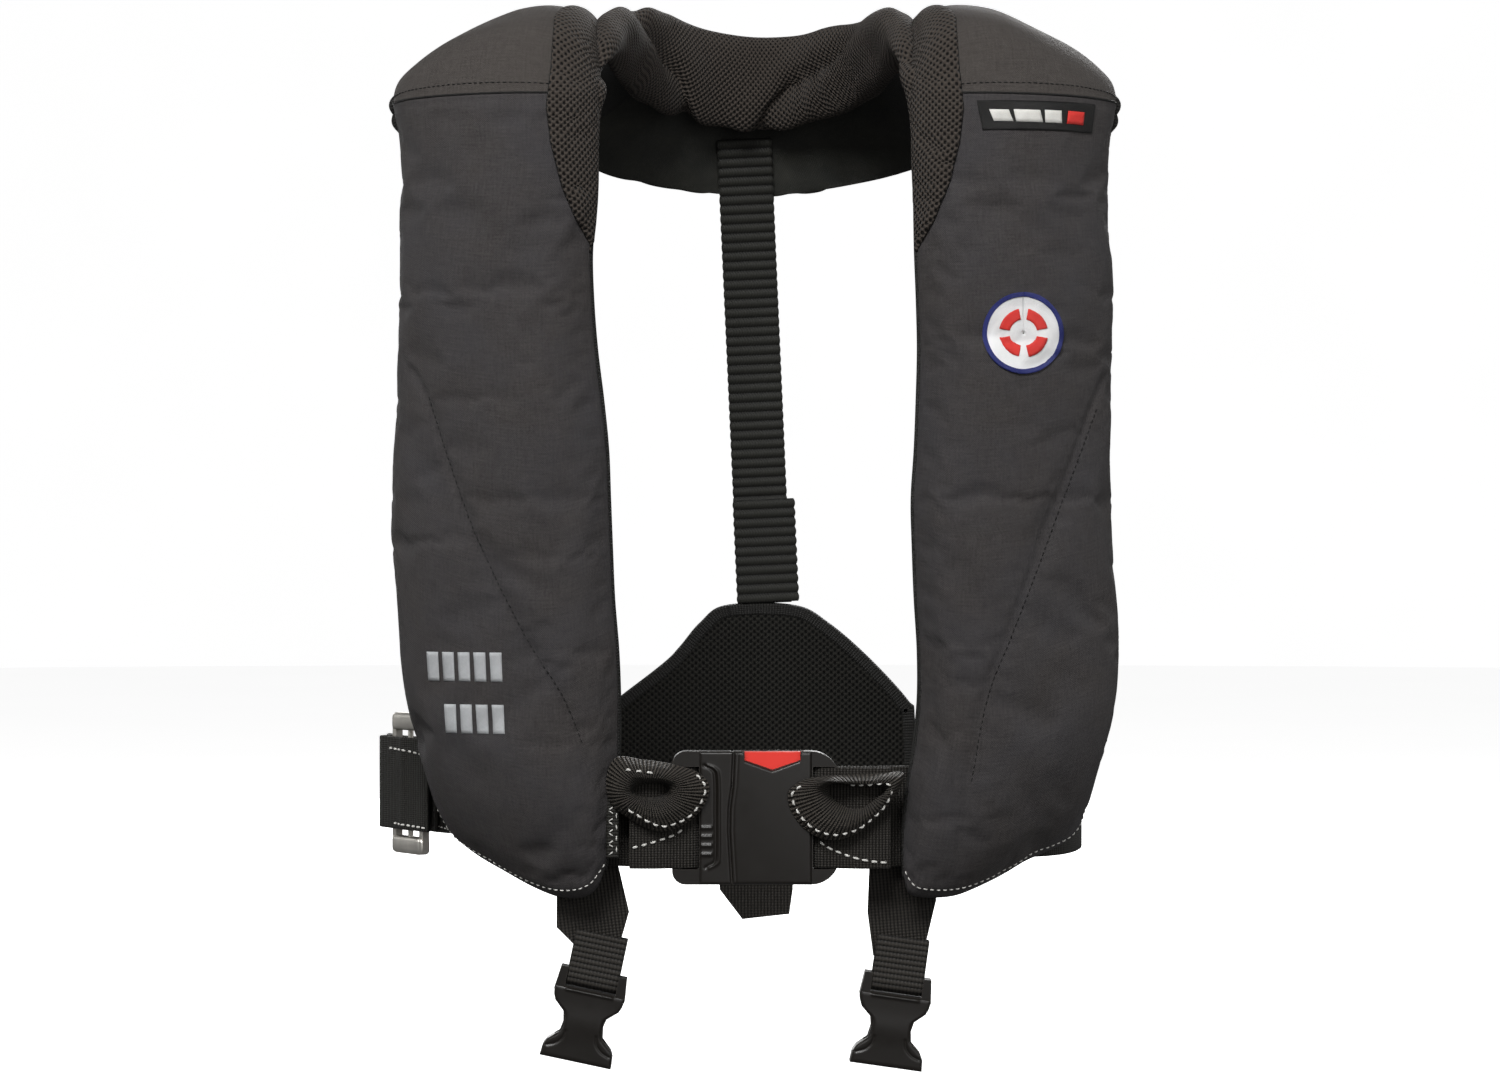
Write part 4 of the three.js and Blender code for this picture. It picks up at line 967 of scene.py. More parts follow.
GATHER = [(184.2, -60, 9), (189.9, -62, 1), (190.6, -62, -9), (186.4, -61, -21)]
cover_skin = {name: skin_of(skins[name]) for name in skins}
for name in ("right", "left"):
    side = LOBES[name]["side"]
    grid = covers[name]
    n = outer_normals(grid)
    # The binding that joins the cover's long edges to the lining.
    back, middle = np.array([-0.44 * side, 0.9, 0]), grid.mean(axis=1)
    for edge, column in (("inner", grid[:, 0]), ("outer", grid[:, -1])):
        inwards = unit((middle - column) * (1, 1, 0))
        piping(f"edge_binding_{name}_{edge}", column + inwards * 1.3 + back * 1.3, 1.6, "binding", "cover_fabric")
    hem = stitch_row(f"hem_stitches_{name}", grid[-4, 4:-3], n[-9, 4:-3], 2.2, 3.5, 0.34)
    finish(hem, "jacket", "cover_fabric")
    yoke = yokes[name] if name == "right" else yokes[name][::-1]
    yn = outer_normals(yokes[name])
    yn = yn if name == "right" else yn[::-1]
    top = stitch_row(f"yoke_stitches_{name}", yoke[4, 8:-4], yn[4, 8:-4], 2.3, 3.2, 0.28, "dark_thread")
    finish(top, "jacket", "yoke_fabric")
    piping(f"yoke_seam_{name}", yoke[0, 4:-1], 0.55, "dark_thread", "yoke_fabric")
    points, facing = drape(cover_skin[name], np.array(SEAMS[name][1:-1]) + (2.4, 0), count=160)
    long_seam = stitch_row(f"seam_stitches_{name}", points, facing, 2.3, 3.3, 0.26, "dark_thread")
    finish(long_seam, "jacket", "cover_fabric")
    # The gathered elastic at the outer end of the yoke seam.
    line = spline([(side * x, y, z) for x, y, z in GATHER], 120)
    beads = np.abs(np.sin(np.linspace(0, 3.4 * math.pi, 120))) * np.sin(np.linspace(0.2, math.pi - 0.2, 120))
    beads = 2.2 + 1.9 * beads
    section = circle(14)[None] * beads[:, None, None]
    ahead = directions(line)
    across = unit(np.cross(ahead, (0.0, 1.0, 0.0)))
    gather = swept(f"edge_gather_{name}", line, across, np.cross(ahead, across), section, M["binding"])
    finish(gather, "jacket", "cover_fabric")

# A plain woven label, a round badge with a lifebuoy ring, and blocks of reflective tape.
left_skin, right_skin = cover_skin["left"], cover_skin["right"]
patch_on(left_skin, "woven_label", quad_xz([(114, -9), (177, -8), (175, -23), (117, -24)], 16, 44), "label", 0.7)
LABEL_BARS = [(0.1, 0.16, "thread"), (0.3, 0.22, "thread"), (0.56, 0.14, "thread"), (0.76, 0.14, "badge_red")]
for i, (at, wide, tone) in enumerate(LABEL_BARS):
    top, low = np.array([114 + 63 * at, -13.5 + at]), np.array([117 + 58 * at, -19.5])
    step = np.array([63 * wide, 0])
    patch_on(left_skin, f"label_bar_{i}", quad_xz([top, top + step, low + step, low], 4, 10), tone, 1.0, 0.4)
BADGE = (138, -128.5)
patch_on(left_skin, "badge_field", ring_xz(BADGE, 0.4, 20.5, 14, 64), "badge_white", 0.8, 0.8)
patch_on(left_skin, "badge_border", ring_xz(BADGE, 18.6, 21, 5, 96), "badge_navy", 1.15, 1.0)
for i in range(4):
    arc = ring_xz(BADGE, 7, 12.5, 5, 16, i * math.pi / 2 + 0.2, math.pi / 2 - 0.4)
    patch_on(left_skin, f"badge_buoy_{i}", arc, "badge_red", 1.2)
for row, (x0, z0, count) in enumerate([(-170.5, -293, 5), (-161, -320, 4)]):
    for i in range(count):
        x = x0 + i * 8.4
        corners = [(x, z0), (x + 6.2, z0), (x + 6.8, z0 - 15), (x + 0.8, z0 - 15)]
        patch_on(right_skin, f"reflective_bar_{row}_{i}", quad_xz(corners, 8, 5), "silver", 0.35, 0.3)

# ---------------------------------------------------------------- collar
rows, cols = 64, 40
front = neck_grid(5, 9, rows, cols, 0.95)
back = neck_grid(5, 9, rows, cols, 0.0, 5)
grid = finer(settle(front, back, edge_mask(rows, cols, 2), LOOSE), 2)
# The collar wears the yoke's paler cloth, which is painted light.
cloth_piece("collar_cloth", grid, "yoke", 0.9, "yoke_fabric", 0.7, "collar_back")

flap_grid = neck_grid(4.6, 9.4, 140, 40, 0.0, 3.5)
pucker = lumps(flap_grid * np.array([1, 1, 0.35]), 22, 5) * 1.1 + lumps(flap_grid, 50, 6) * 1.2
rim = np.sin(np.linspace(0, math.pi, 40))[None, :] ** 0.5
flap_grid = flap_grid + outer_normals(flap_grid) * (pucker * rim)[..., None]
cloth_piece("collar_flap_cloth", flap_grid, "flap", 1.2, "lining_fabric", 0.3, "collar_flap")

# The padded roll of spacer mesh from the left lobe to the nape, mirrored for the right side: its centre,
# its long axis, and half its length and thickness.
MESH_ROLL = [
    ((84.5, -114, -60), (1, 0, 0), 2.5, 2.5),
    ((86, -113, -35), (1, 0, 0.1), 5, 4),
    ((87, -109, -5), (0.95, 0, -0.3), 8, 6),
    ((86, -97, 16), (0.8, 0, -0.6), 11, 8),
    ((79, -60, 30), (0.5, 0, -0.87), 16, 9),
    ((67, -15, 33), (0.2, 0, -0.98), 20, 9),
    ((53, 20, 29), (0.1, 0.05, -1), 24, 9),
    ((30, 42, 24), (0, 0.1, -1), 25, 9),
    ((0, 50, 21), (0, 0.12, -1), 26, 9),
]
ROLL_CREASES = [
    ([(-100, 53), (-97, 45), (-89, 32), (-80, 19), (-78, 8)], 7, 3.2),
    ([(-70, 62), (-62, 52), (-50, 38), (-41, 16), (-38, -4)], 7, 3.6),
    ([(64, 56), (44, 37), (22, 18), (10, 4), (4, -6)], 7, 3.6),
    ([(100, 46), (95, 40), (86, 28), (80, 16)], 6, 3.2),
]


def roll_grid(rows, sides):
    raw = [np.concatenate([c * MIRROR, a * MIRROR, [p, q]]) for c, a, p, q in MESH_ROLL]
    raw += [np.concatenate([c, a, [p, q]]) for c, a, p, q in MESH_ROLL[-2::-1]]
    line = spline(raw, rows)
    centre, long_axis, p, q = line[:, :3], unit(line[:, 3:6]), line[:, 6], line[:, 7]
    ahead = directions(centre)
    long_axis = unit(long_axis - ahead * np.sum(long_axis * ahead, axis=1, keepdims=True))
    thick = np.cross(ahead, long_axis)
    a, b = squarish(sides, 0.75, 0.85)
    rings = centre[:, None] + long_axis[:, None] * (p[:, None] * a)[..., None]
    return rings + thick[:, None] * (q[:, None] * b)[..., None], centre


roll, roll_line = roll_grid(330, 56)
middle = roll.mean(axis=1, keepdims=True)
outward_roll = unit(roll - middle)
roll = roll + outward_roll * (lumps(roll, 48, 3) * 1.5)[..., None]
upper = np.clip((roll - middle)[..., 2] / 20, 0, 1)
# The roll is a little fuller on the wearer's right of the nape and thinner on the left.
hump = 3.2 * np.exp(-(((roll[..., 0] + 60) / 34) ** 2)) - 3 * np.exp(-(((roll[..., 0] - 52) / 24) ** 2))
roll = roll + np.stack([0 * upper, 0 * upper, hump * upper * smoothstep(roll[..., 1], -40, 0)], axis=-1)
for line, depth, width in ROLL_CREASES:
    gap, along = to_line(roll[..., [0, 2]], line)
    front_side = np.clip((middle[..., 1] - roll[..., 1]) / 6 + 0.9, 0, 1)
    fade = 0.06 + 0.94 * smoothstep(along, 0.04, 0.35)
    roll = roll - outward_roll * (depth * fade * np.exp(-((gap / width) ** 2)) * front_side)[..., None]
    roll = roll + outward_roll * (1.8 * np.exp(-(((gap - 11) / 6) ** 2)) * front_side)[..., None]
roll_piece = finish(tube("neck_mesh_roll", roll, roll_line, M["spacer"]), "jacket", "spacer_mesh", "neck_mesh_pad")


# ---------------------------------------------------------------- webbing
BELT_HALF, BELT_Z = 25, -378
RUN_START, RUN_AHEAD = np.array([-155, -62.5]), np.array([-0.583, 0.812])
ADJUSTER_LIFT = 11.5


def run_at(distance):
    """The (x, y) that far along the belt's straight run through the adjuster."""
    return tuple(RUN_START + RUN_AHEAD * distance)


def lift(x, y):
    """How far the belt rises from its level towards the adjuster."""
    return ADJUSTER_LIFT * smoothstep(-x, 105, 160) * (1 - smoothstep(y, 10, 90))


BELT_PATH = [
    *[(88, -100.5), (110, -89.5), (138, -76), (158, -64), (171, -40), (178, 0), (171, 45), (150, 80), (125, 99)],
    *[(96, 109.5), (60, 112), (0, 113), (-60, 112), (-96, 109.5), (-125, 101), (-155, 85), (-181, 60), (-198, 30)],
    *[(-202, 12), run_at(72), run_at(54), run_at(36), run_at(18), run_at(0), (-130, -76), (-100, -91), (-80, -101)],
]
UP = (0, 0, 1)
belt_line = spline(BELT_PATH, 420)
belt_line = np.column_stack([belt_line, BELT_Z + lift(belt_line[:, 0], belt_line[:, 1])])
belt = flat_strap("waist_belt_web", belt_line, UP, BELT_HALF, 2.2, M["web_fine"])
finish(belt, "jacket", "webbing", "waist_belt")

LOOP_PATHS = {
    "right": [
        *[(-98, -88.2), (-84, -96), (-70, -103), (-56, -106.6), (-44, -106.9), (-39, -106.9), (-33.4, -107.6)],
        *[(-29.5, -112), (-32.9, -116.4), (-39, -117.1), (-44, -117.8), (-54, -120), (-65, -119)],
    ],
    "left": [
        *[(108, -87.2), (92, -95.6), (76, -103), (60, -106.6), (45, -106.9), (40, -106.9), (34.4, -107.6)],
        *[(30.3, -112), (33.7, -116.4), (40, -117.1), (45, -117.8), (56, -120), (70, -119)],
    ],
}
LOOP_Z = -379


def with_buckle(obj, slot, *nodes):
    """A piece of the right belt end: bakes its transform into its mesh and hides the CAD nodes it stands for."""
    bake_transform(obj)
    if nodes:
        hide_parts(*nodes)


loops = {}
for name, path in LOOP_PATHS.items():
    line = spline(path, 200)
    line = np.column_stack([line, np.full(len(line), LOOP_Z)])
    loops[name] = flat_strap(f"belt_loop_web_{name}", line, UP, BELT_HALF + 1.2, 1.8, M["web_fold"])
    if name == "right":
        with_buckle(loops[name], "webbing", "belt_loop_right")
    else:
        finish(loops[name], "jacket", "webbing", "belt_loop_left")

# The turned-over mouth of each belt end: the pit, the rim as (x, z) in matching order, and the rise between.
PETALS = {
    "right": {
        "pit": [
            *[(-46.4, -363.8), (-47.5, -366.2), (-50.5, -367.2), (-54, -367.4), (-58, -367), (-62, -365.4)],
            *[(-61, -363.4), (-58, -362.2), (-54.5, -361.6), (-51, -361.2), (-48, -361.8)],
        ],
        "rim": [
            *[(-23.6, -364), (-25.6, -371), (-31, -378), (-38.5, -383), (-48, -385.6), (-57, -383.4), (-65, -379)],
            *[(-74, -372), (-77, -360), (-72, -347.5), (-58, -348.6), (-44, -350.6), (-31, -354.4), (-25, -359)],
        ],
    },
    "left": {
        "pit": [
            *[(38.2, -362.8), (38.6, -366.6), (43, -371), (50, -373.6), (56, -372.8), (61, -369), (66, -365)],
            *[(64, -362.6), (57, -362.6), (49.5, -361.8), (43, -360.4)],
        ],
        "rim": [
            *[(17, -366.4), (18.2, -374), (23, -381.8), (30, -387.4), (38.6, -390), (48, -388.6), (57, -384)],
            *[(65, -377), (71.6, -369), (75.5, -361), (76, -355), (60, -356), (43, -356.6), (28, -358), (20.6, -361.6)],
        ],
    },
}
PETAL_RISE = [(0, -118.6), (0.08, -121.4), (0.2, -126.8), (0.38, -130.4), (0.58, -130.6), (0.8, -127.4), (1, -121.8)]
PETAL_COLS, PETAL_ROWS, RIB = 512, 34, 8
petals = {}
for name, petal in PETALS.items():
    pit = spline(petal["pit"], PETAL_COLS, closed=True)
    rim = spline(petal["rim"], PETAL_COLS, closed=True)
    r = np.linspace(0, 1, PETAL_ROWS)
    y = np.interp(r, [p[0] for p in PETAL_RISE], [p[1] for p in PETAL_RISE])
    spread = (r**1.1)[:, None, None]
    xz = pit[None] * (1 - spread) + rim[None] * spread
    turns = np.arange(PETAL_COLS)
    ribs = np.abs(np.sin(turns * math.pi / RIB))[None, :] * np.clip(r * 3, 0, 1)[:, None]
    height = y[:, None] - 1.0 * ribs + 1.1 * np.sin(turns / PETAL_COLS * 6 * math.pi)[None] * r[:, None]
    grid = np.stack([xz[..., 0], height, xz[..., 1]], axis=-1)
    behind = grid + np.array([0, 1.7, 0])
    count = PETAL_ROWS * PETAL_COLS
    faces = quads(PETAL_ROWS, PETAL_COLS, closed_cols=True)
    faces += [f[::-1] for f in quads(PETAL_ROWS, PETAL_COLS, closed_cols=True, start=count)]
    for row in (0, PETAL_ROWS - 1):
        for c in range(PETAL_COLS):
            a, b = row * PETAL_COLS + c, row * PETAL_COLS + (c + 1) % PETAL_COLS
            faces.append([a, b, b + count, a + count])
    turn = np.broadcast_to((turns * 1.7 / RIB)[None, :], (PETAL_ROWS, PETAL_COLS))
    down = np.broadcast_to((r * 24)[:, None], (PETAL_ROWS, PETAL_COLS))
    uv = np.stack([turn, down], axis=-1).reshape(-1, 2)
    fold = mesh_of(f"belt_end_fold_{name}", both(grid, behind), faces, M["web_petal"], np.concatenate([uv, uv]))
    petals[name] = outward(fold)
    if name == "right":
        with_buckle(petals[name], "webbing")
    else:
        finish(petals[name], "jacket", "webbing")


def smoothed(values, width):
    """Rows averaged with their neighbours; the ends stay."""
    padded = np.concatenate([values[:1]] * (width // 2) + [values] + [values[-1:]] * (width // 2))
    return np.stack([padded[i : i + len(values)] for i in range(width)]).mean(axis=0)


STITCHES = {
    ("right", "petal"): [
        [
            *[(-31, -355.6), (-27, -359.6), (-25.8, -364.5), (-28.6, -371.4), (-34.4, -378), (-40.7, -381)],
            *[(-47, -382.6), (-53.9, -380.6), (-60.8, -376.6), (-66, -373.7)],
        ],
        [(-68, -352.9), (-60, -354), (-51.6, -355.1)],
    ],
    ("left", "petal"): [
        [
            *[(24.4, -361.2), (19.4, -365.6), (19.9, -370.4), (23.4, -377.1), (29, -382.9), (36, -386.2)],
            *[(43.8, -386.7), (53, -384), (60, -378.9), (65.6, -373.7), (69.1, -367.9), (70.2, -363.3)],
            *[(67.9, -360.4), (57.6, -361), (48.4, -361.4)],
        ],
    ],
    ("right", "loop"): [[(-37, -384.4), (-41.3, -387.5), (-49.3, -390.4), (-61.4, -393.8), (-64.6, -394.4)]],
    ("left", "loop"): [[(33, -390.4), (36.9, -393.8), (44.9, -397.3), (54.1, -400.1), (63.3, -401.6), (69, -402)]],
}
for (name, on), rows in STITCHES.items():
    skin = skin_of(petals[name] if on == "petal" else loops[name])
    for number, row in enumerate(rows):
        points, facing = drape(skin, row)
        points[:, 1] = smoothed(points[:, 1], 9) - 0.4
        facing = smoothed(facing, 9)
        thread = stitch_row(f"white_stitches_{on}_{name}_{number}", points, facing, 3.2, 4.7, 0.62)
        if name == "right":
            with_buckle(thread, "webbing")
        else:
            finish(thread, "jacket", "webbing")

# ---------------------------------------------------------------- keeper and adjuster
keeper_line = np.array([(-73.8, -119.6, z) for z in np.linspace(-399.6, -362, 40)])
keeper = flat_strap("belt_keeper_web", keeper_line, (1, 0.0, 0), 3.2, 1.6, M["web_fine"])
finish(keeper, "jacket", "webbing", "belt_keeper")
zig = [(-73.8 + (2.1 if i % 2 else -2.1), -120.5, -398 + i * 2.9) for i in range(13)]
zigzag = np.concatenate([np.linspace(a, b, 6) for a, b in zip(zig[:-1], zig[1:])])
finish(stitch_row("keeper_zigzag", zigzag, (0, -1, 0), 2.6, 3.4, 0.32), "jacket", "webbing")

ANGLE = math.atan2(RUN_AHEAD[1], RUN_AHEAD[0])
ADJUSTER_AT = np.array([*run_at(44.3)]) + np.array([RUN_AHEAD[1] * -6.4, RUN_AHEAD[0] * 6.4])


def at_adjuster(x, y, z):
    """A point given in the adjuster's own axes."""
    c, s = math.cos(ANGLE), math.sin(ANGLE)
    return (ADJUSTER_AT[0] + x * c - y * s, ADJUSTER_AT[1] + x * s + y * c, BELT_Z + ADJUSTER_LIFT + z)


END_LOOP = [
    *[(-23, 2.4), (-20, 3.4), (-12, 3.7), (-5, 4.2), (0, 5.2), (5, 4.2), (14, 3.8), (24, 3.5), (27.3, 2.4), (28, 0)],
    *[(27.3, -2.4), (24, -3.5), (14, -3.7), (0, -3.9), (-12, -3.7), (-20, -3.4), (-23, -2.4)],
]
end_line = spline([at_adjuster(x, y, 0) for x, y in END_LOOP], 160)
end_loop = flat_strap("belt_end_web", end_line, UP, BELT_HALF, 1.9, M["web_fine"])
finish(end_loop, "adjuster", "webbing", "belt_end_loop")
ADJUSTER_STITCHES = [
    [(-199, -347.8), (-189, -348.6), (-178, -350)],
    [(-196, -388.4), (-187, -388.8), (-176, -389.4)],
]
wrap_skin = skin_of(end_loop)
for number, row in enumerate(ADJUSTER_STITCHES):
    thread = stitch_row(f"adjuster_stitches_{number}", *drape(wrap_skin, row), 3.2, 4.6, 0.6)
    finish(thread, "adjuster", "webbing")
# The cast ends of the adjuster's frame, above and below the webbing.
END_HALF, END_THICK, END_TALL, END_LEVEL = 15.6, 3.4, 4.6, 33.2
cast = np.column_stack(squarish(24, 0.5, 0.5)) * (END_THICK, END_TALL)
ease = np.sqrt(np.clip(1 - (np.abs(np.linspace(-1, 1, 24)) - 0.86).clip(0) ** 2 / 0.14**2 * 0.55, 0, 1))
away = unit(np.array(at_adjuster(0, 1, 0)) - np.array(at_adjuster(0, 0, 0)))
for number, level in enumerate((END_LEVEL, -END_LEVEL)):
    rail = np.array([at_adjuster(x, 0, level) for x in np.linspace(-END_HALF, END_HALF, 24)])
    across, up = np.broadcast_to(away, rail.shape), np.broadcast_to(UP, rail.shape).astype(float)
    end = swept(f"adjuster_end_{number}", rail, across, up, cast[None] * ease[:, None, None], M["steel"])
    finish(end, "adjuster", "steel")
BELT_STITCHES = [
    [(-170.5, -347), (-170.5, -389)],
    [(-170, -366), (-163, -382), (-156, -395.6)],
    [(-171, -388.6), (-157, -391)],
]
belt_skin = skin_of(belt)
for number, row in enumerate(BELT_STITCHES):
    thread = stitch_row(f"belt_stitches_{number}", *drape(belt_skin, row), 2.2, 3.1, 0.36)
    finish(thread, "jacket", "webbing")

# ---------------------------------------------------------------- back strap, pad and crotch strap
BACK_STRAP = [(66.6, -8), (71.8, -25), (76.4, -41), (87, -90), (96, -160), (100, -220), (102, -271.5)]
SLANT, RIB_PITCH = -0.045, 5.4


STRAP_TOP = (-6, 0, -8)


def tilted(p, tilt):
    """Points turned about the Y axis."""
    c, s = math.cos(tilt), math.sin(tilt)
    return np.column_stack([p[:, 0] * c + p[:, 2] * s, p[:, 1], -p[:, 0] * s + p[:, 2] * c])


def ribbed_strap(name, node, yz, x, half, thick, rib, notch):
    """Webbing with real cross ribs: thicker and a little wider at each rib. It hangs at a slant."""
    fine = spline([(x, y, z) for y, z in yz], 3000)
    run = np.linalg.norm(np.diff(fine, axis=0), axis=1).sum()
    rows = int(run / RIB_PITCH * 8)
    line = tilted(evenly(fine, rows) - STRAP_TOP, SLANT) + STRAP_TOP
    ahead = directions(line)
    across = unit(np.array([math.cos(SLANT), 0, -math.sin(SLANT)]) * np.ones((rows, 1)))
    up = np.cross(ahead, across)
    phase = np.abs(np.sin(np.linspace(0, run, rows) * math.pi / RIB_PITCH)) ** 0.8
    section = np.asarray(flat_section(1, 1, 0.06, 21))
    half_row = (half - notch + notch * phase)[:, None]
    thick_row = (thick - rib + 2 * rib * phase)[:, None]
    rings = line[:, None] + across[:, None] * (section[:, 0] * half_row)[..., None]
    rings = rings + up[:, None] * (section[:, 1] * thick_row)[..., None]
    finish(tube(name, rings, line, M["web_back"]), "jacket", "webbing", node)


ribbed_strap("back_strap_web", "back_strap", BACK_STRAP, -6, 15.6, 2.2, 0.7, 0.5)
PATCH = [(96.4, -212), (97.8, -235), (99, -271)]
ribbed_strap("back_strap_doubling", "back_strap_patch", PATCH, -4, 18, 1.8, 0.6, 0.9)

PAD_OUTLINE = [
    *[(-16, -272.5), (-31.7, -283), (-49, -303), (-79.5, -327), (-92, -340), (-92, -404), (-84, -410)],
    *[(84, -410), (92, -404), (92, -338), (88, -327), (66, -303), (43, -283), (23, -272.5)],
]


def scanned(left, right, top, bottom, rows, cols, border):
    """A grid between two edges given as (z, x), and each point's distance to the outline, up to `border`."""
    z = top + (bottom - top) * (0.5 - 0.5 * np.cos(np.linspace(0, math.pi, rows)))
    a, b = table(left, z), table(right, z)
    u = 0.5 - 0.5 * np.cos(np.linspace(0, math.pi, cols))
    x = a[:, None] + (b - a)[:, None] * u[None]
    zz = np.broadcast_to(z[:, None], x.shape)
    line = [*[(p[1], p[0]) for p in sorted(left, reverse=True)], *[(p[1], p[0]) for p in sorted(right)]]
    gap, _ = to_line(np.stack([x, zz], axis=-1), line + line[:1])
    return x, zz, np.clip(gap / border, 0, 1)


PAD_LEFT = [(-272.5, -16), (-283, -31.7), (-303, -49), (-327, -79.5), (-340, -92), (-404, -92), (-410, -84)]
PAD_RIGHT = [(-272.5, 23), (-283, 43), (-303, 66), (-327, 88), (-338, 92), (-404, 92), (-410, 84)]
x, z, near = scanned(PAD_LEFT, PAD_RIGHT, -272.5, -410, 90, 110, 12)
swell = np.sqrt(1 - (1 - near) ** 2)
front_pad = np.stack([x, 101.6 - 2.6 * swell, z], axis=-1)
back_pad = np.stack([x, 102.6 + 2.6 * swell, z], axis=-1)
uv = np.stack([x, z], axis=-1)
back_pad_piece = mesh_of("back_pad_mesh", both(front_pad, back_pad), skin_faces(*x.shape), M["pad_mesh"], both(uv, uv))
finish(outward(back_pad_piece), "jacket", "spacer_mesh", "back_pad")

PAD_CENTRE, EDGING_POINTS, EDGING_IN = np.array([1.0, -350.0]), 420, 3.6
outline = spline(PAD_OUTLINE, EDGING_POINTS, closed=True)
ahead = directions(outline, closed=True)
inward = np.column_stack([-ahead[:, 1], ahead[:, 0]])
inward *= np.sign(np.sum(inward * (PAD_CENTRE - outline), axis=1, keepdims=True))
middle = outline + inward * EDGING_IN
path = np.column_stack([middle[:, 0], np.full(EDGING_POINTS, 102.2), middle[:, 1]])
across = np.column_stack([inward[:, 0], np.zeros(EDGING_POINTS), inward[:, 1]])
up = np.broadcast_to((0.0, 1.0, 0.0), path.shape)
binding = swept("back_pad_edging", path, across, up, flat_section(3.9, 7.0, 1.4, 7), M["binding"], closed=True)
finish(binding, "jacket", "lining_fabric", "back_pad_binding")


def cut_web(name, outline, y, thick, uv_turn=0.0):
    """A flat piece of webbing cut to an (x, z) outline, its edges rounded."""
    edit = bmesh.new()
    corners = [edit.verts.new((x * MM, y * MM, z * MM)) for x, z in outline]
    face = edit.faces.new(corners)
    bmesh.ops.triangulate(edit, faces=[face])
    bmesh.ops.subdivide_edges(edit, edges=edit.edges[:], cuts=5, use_grid_fill=True)
    out = bmesh.ops.extrude_face_region(edit, geom=edit.faces[:])
    for v in [g for g in out["geom"] if isinstance(g, bmesh.types.BMVert)]:
        v.co.y += thick * MM
    bmesh.ops.recalc_face_normals(edit, faces=edit.faces)
    layer = edit.loops.layers.uv.new("UVMap")
    c, s = math.cos(uv_turn), math.sin(uv_turn)
    for f in edit.faces:
        for loop in f.loops:
            px, pz = loop.vert.co.x, loop.vert.co.z
            loop[layer].uv = (px * c + pz * s, -px * s + pz * c)
    mesh = bpy.data.meshes.new(name)
    edit.to_mesh(mesh)
    edit.free()
    mesh.materials.append(M["web_long"])
    obj = link(bpy.data.objects.new(name, mesh))
    bevel = obj.modifiers.new("rounded", "BEVEL")
    bevel.width = 0.5 * MM
    bevel.segments = 3
    bevel.limit_method = "ANGLE"
    return obj


CROTCH = [(-22, -410.4), (23, -410.4), (22, -436), (20, -450), (-7, -453), (-20, -436)]
crotch = cut_web("crotch_strap_web", CROTCH, 101, 2.4)
finish(crotch, "jacket", "webbing", "crotch_strap")

LEG_Y = -93
LEGS = {
    "right": {
        "bar": (-85, LEG_Y, -465),
        "tilt": 0.21,
        "strap": [(-101, -404.4), (-72, -404.4), (-66, -430), (-72, -451), (-95, -447), (-104, -438), (-104, -422)],
    },
    "left": {
        "bar": (74.5, LEG_Y, -467),
        "tilt": 0.14,
        "strap": [(60, -404.4), (95, -404.4), (95, -424), (88, -453), (62, -453), (59, -430)],
    },
}
LEG_LOOP_HALF = 13.8
HAIRPIN = [
    *[(-3.2, 24), (-3.2, 10), (-3.4, 3), (-3.5, -1), (-2.6, -3.8), (0, -4.9)],
    *[(2.6, -3.8), (3.5, -1), (3.4, 3), (3.2, 10), (3.2, 24)],
]
for name, leg in LEGS.items():
    piece = cut_web(f"leg_strap_web_{name}", leg["strap"], LEG_Y - 1.1, 2.2, leg["tilt"] * 0.6)
    finish(piece, f"leg_strap_{name}", "webbing", f"leg_strap_{name}")
    c, s = math.cos(leg["tilt"]), math.sin(leg["tilt"])
    bar = np.array(leg["bar"], float)
    line = np.array([bar + (z * s, y, z * c) for y, z in spline(HAIRPIN, 120)])
    loop = flat_strap(f"leg_loop_web_{name}", line, (c, 0, -s), LEG_LOOP_HALF, 1.5, M["web_cross"])
    finish(loop, f"leg_strap_{name}", "webbing", f"leg_loop_{name}")


# ---------------------------------------------------------------- moulded faces of the buckles
def face_plate(name, x, z, rise, body, place):
    """A moulded skin over grids of x and z: `rise` is how far it stands out of the CAD face, towards -Y."""
    front = np.stack([x, -rise, z], axis=-1)
    back = np.stack([x, np.full_like(x, 0.6), z], axis=-1)
    obj = mesh_of(name, place(both(front, back)), skin_faces(*x.shape), M["black"])
    finish(outward(obj), body, "black_plastic")


def rounded(x, z, left, right, low, high, radius):
    """0 at the edges of a field and 1 once `radius` inside them, on a quarter circle."""
    gap = np.minimum(np.minimum(x - left, right - x), np.minimum(z - low, high - z))
    t = 1 - np.clip(gap / radius, 0, 1)
    return np.sqrt(np.clip(1 - t**2, 0, 1))


BUCKLE_FACE_Y = -118.5
BUCKLE_LOW, BUCKLE_HIGH, BUCKLE_MID = -413.3, -344.7, -379
WINDOW = [(-5.9, -344.7), (-5.6, -349), (9, -354.2), (23.6, -349), (23.9, -344.7)]
SEAM = [(-413.3, -11.6), (-400, -12.4), (-386, -13.2), (-374, -13.0), (-362, -11.4), (-344.7, -10.6)]


def onto_buckle(points):
    return points + np.array([0, BUCKLE_FACE_Y, 0])


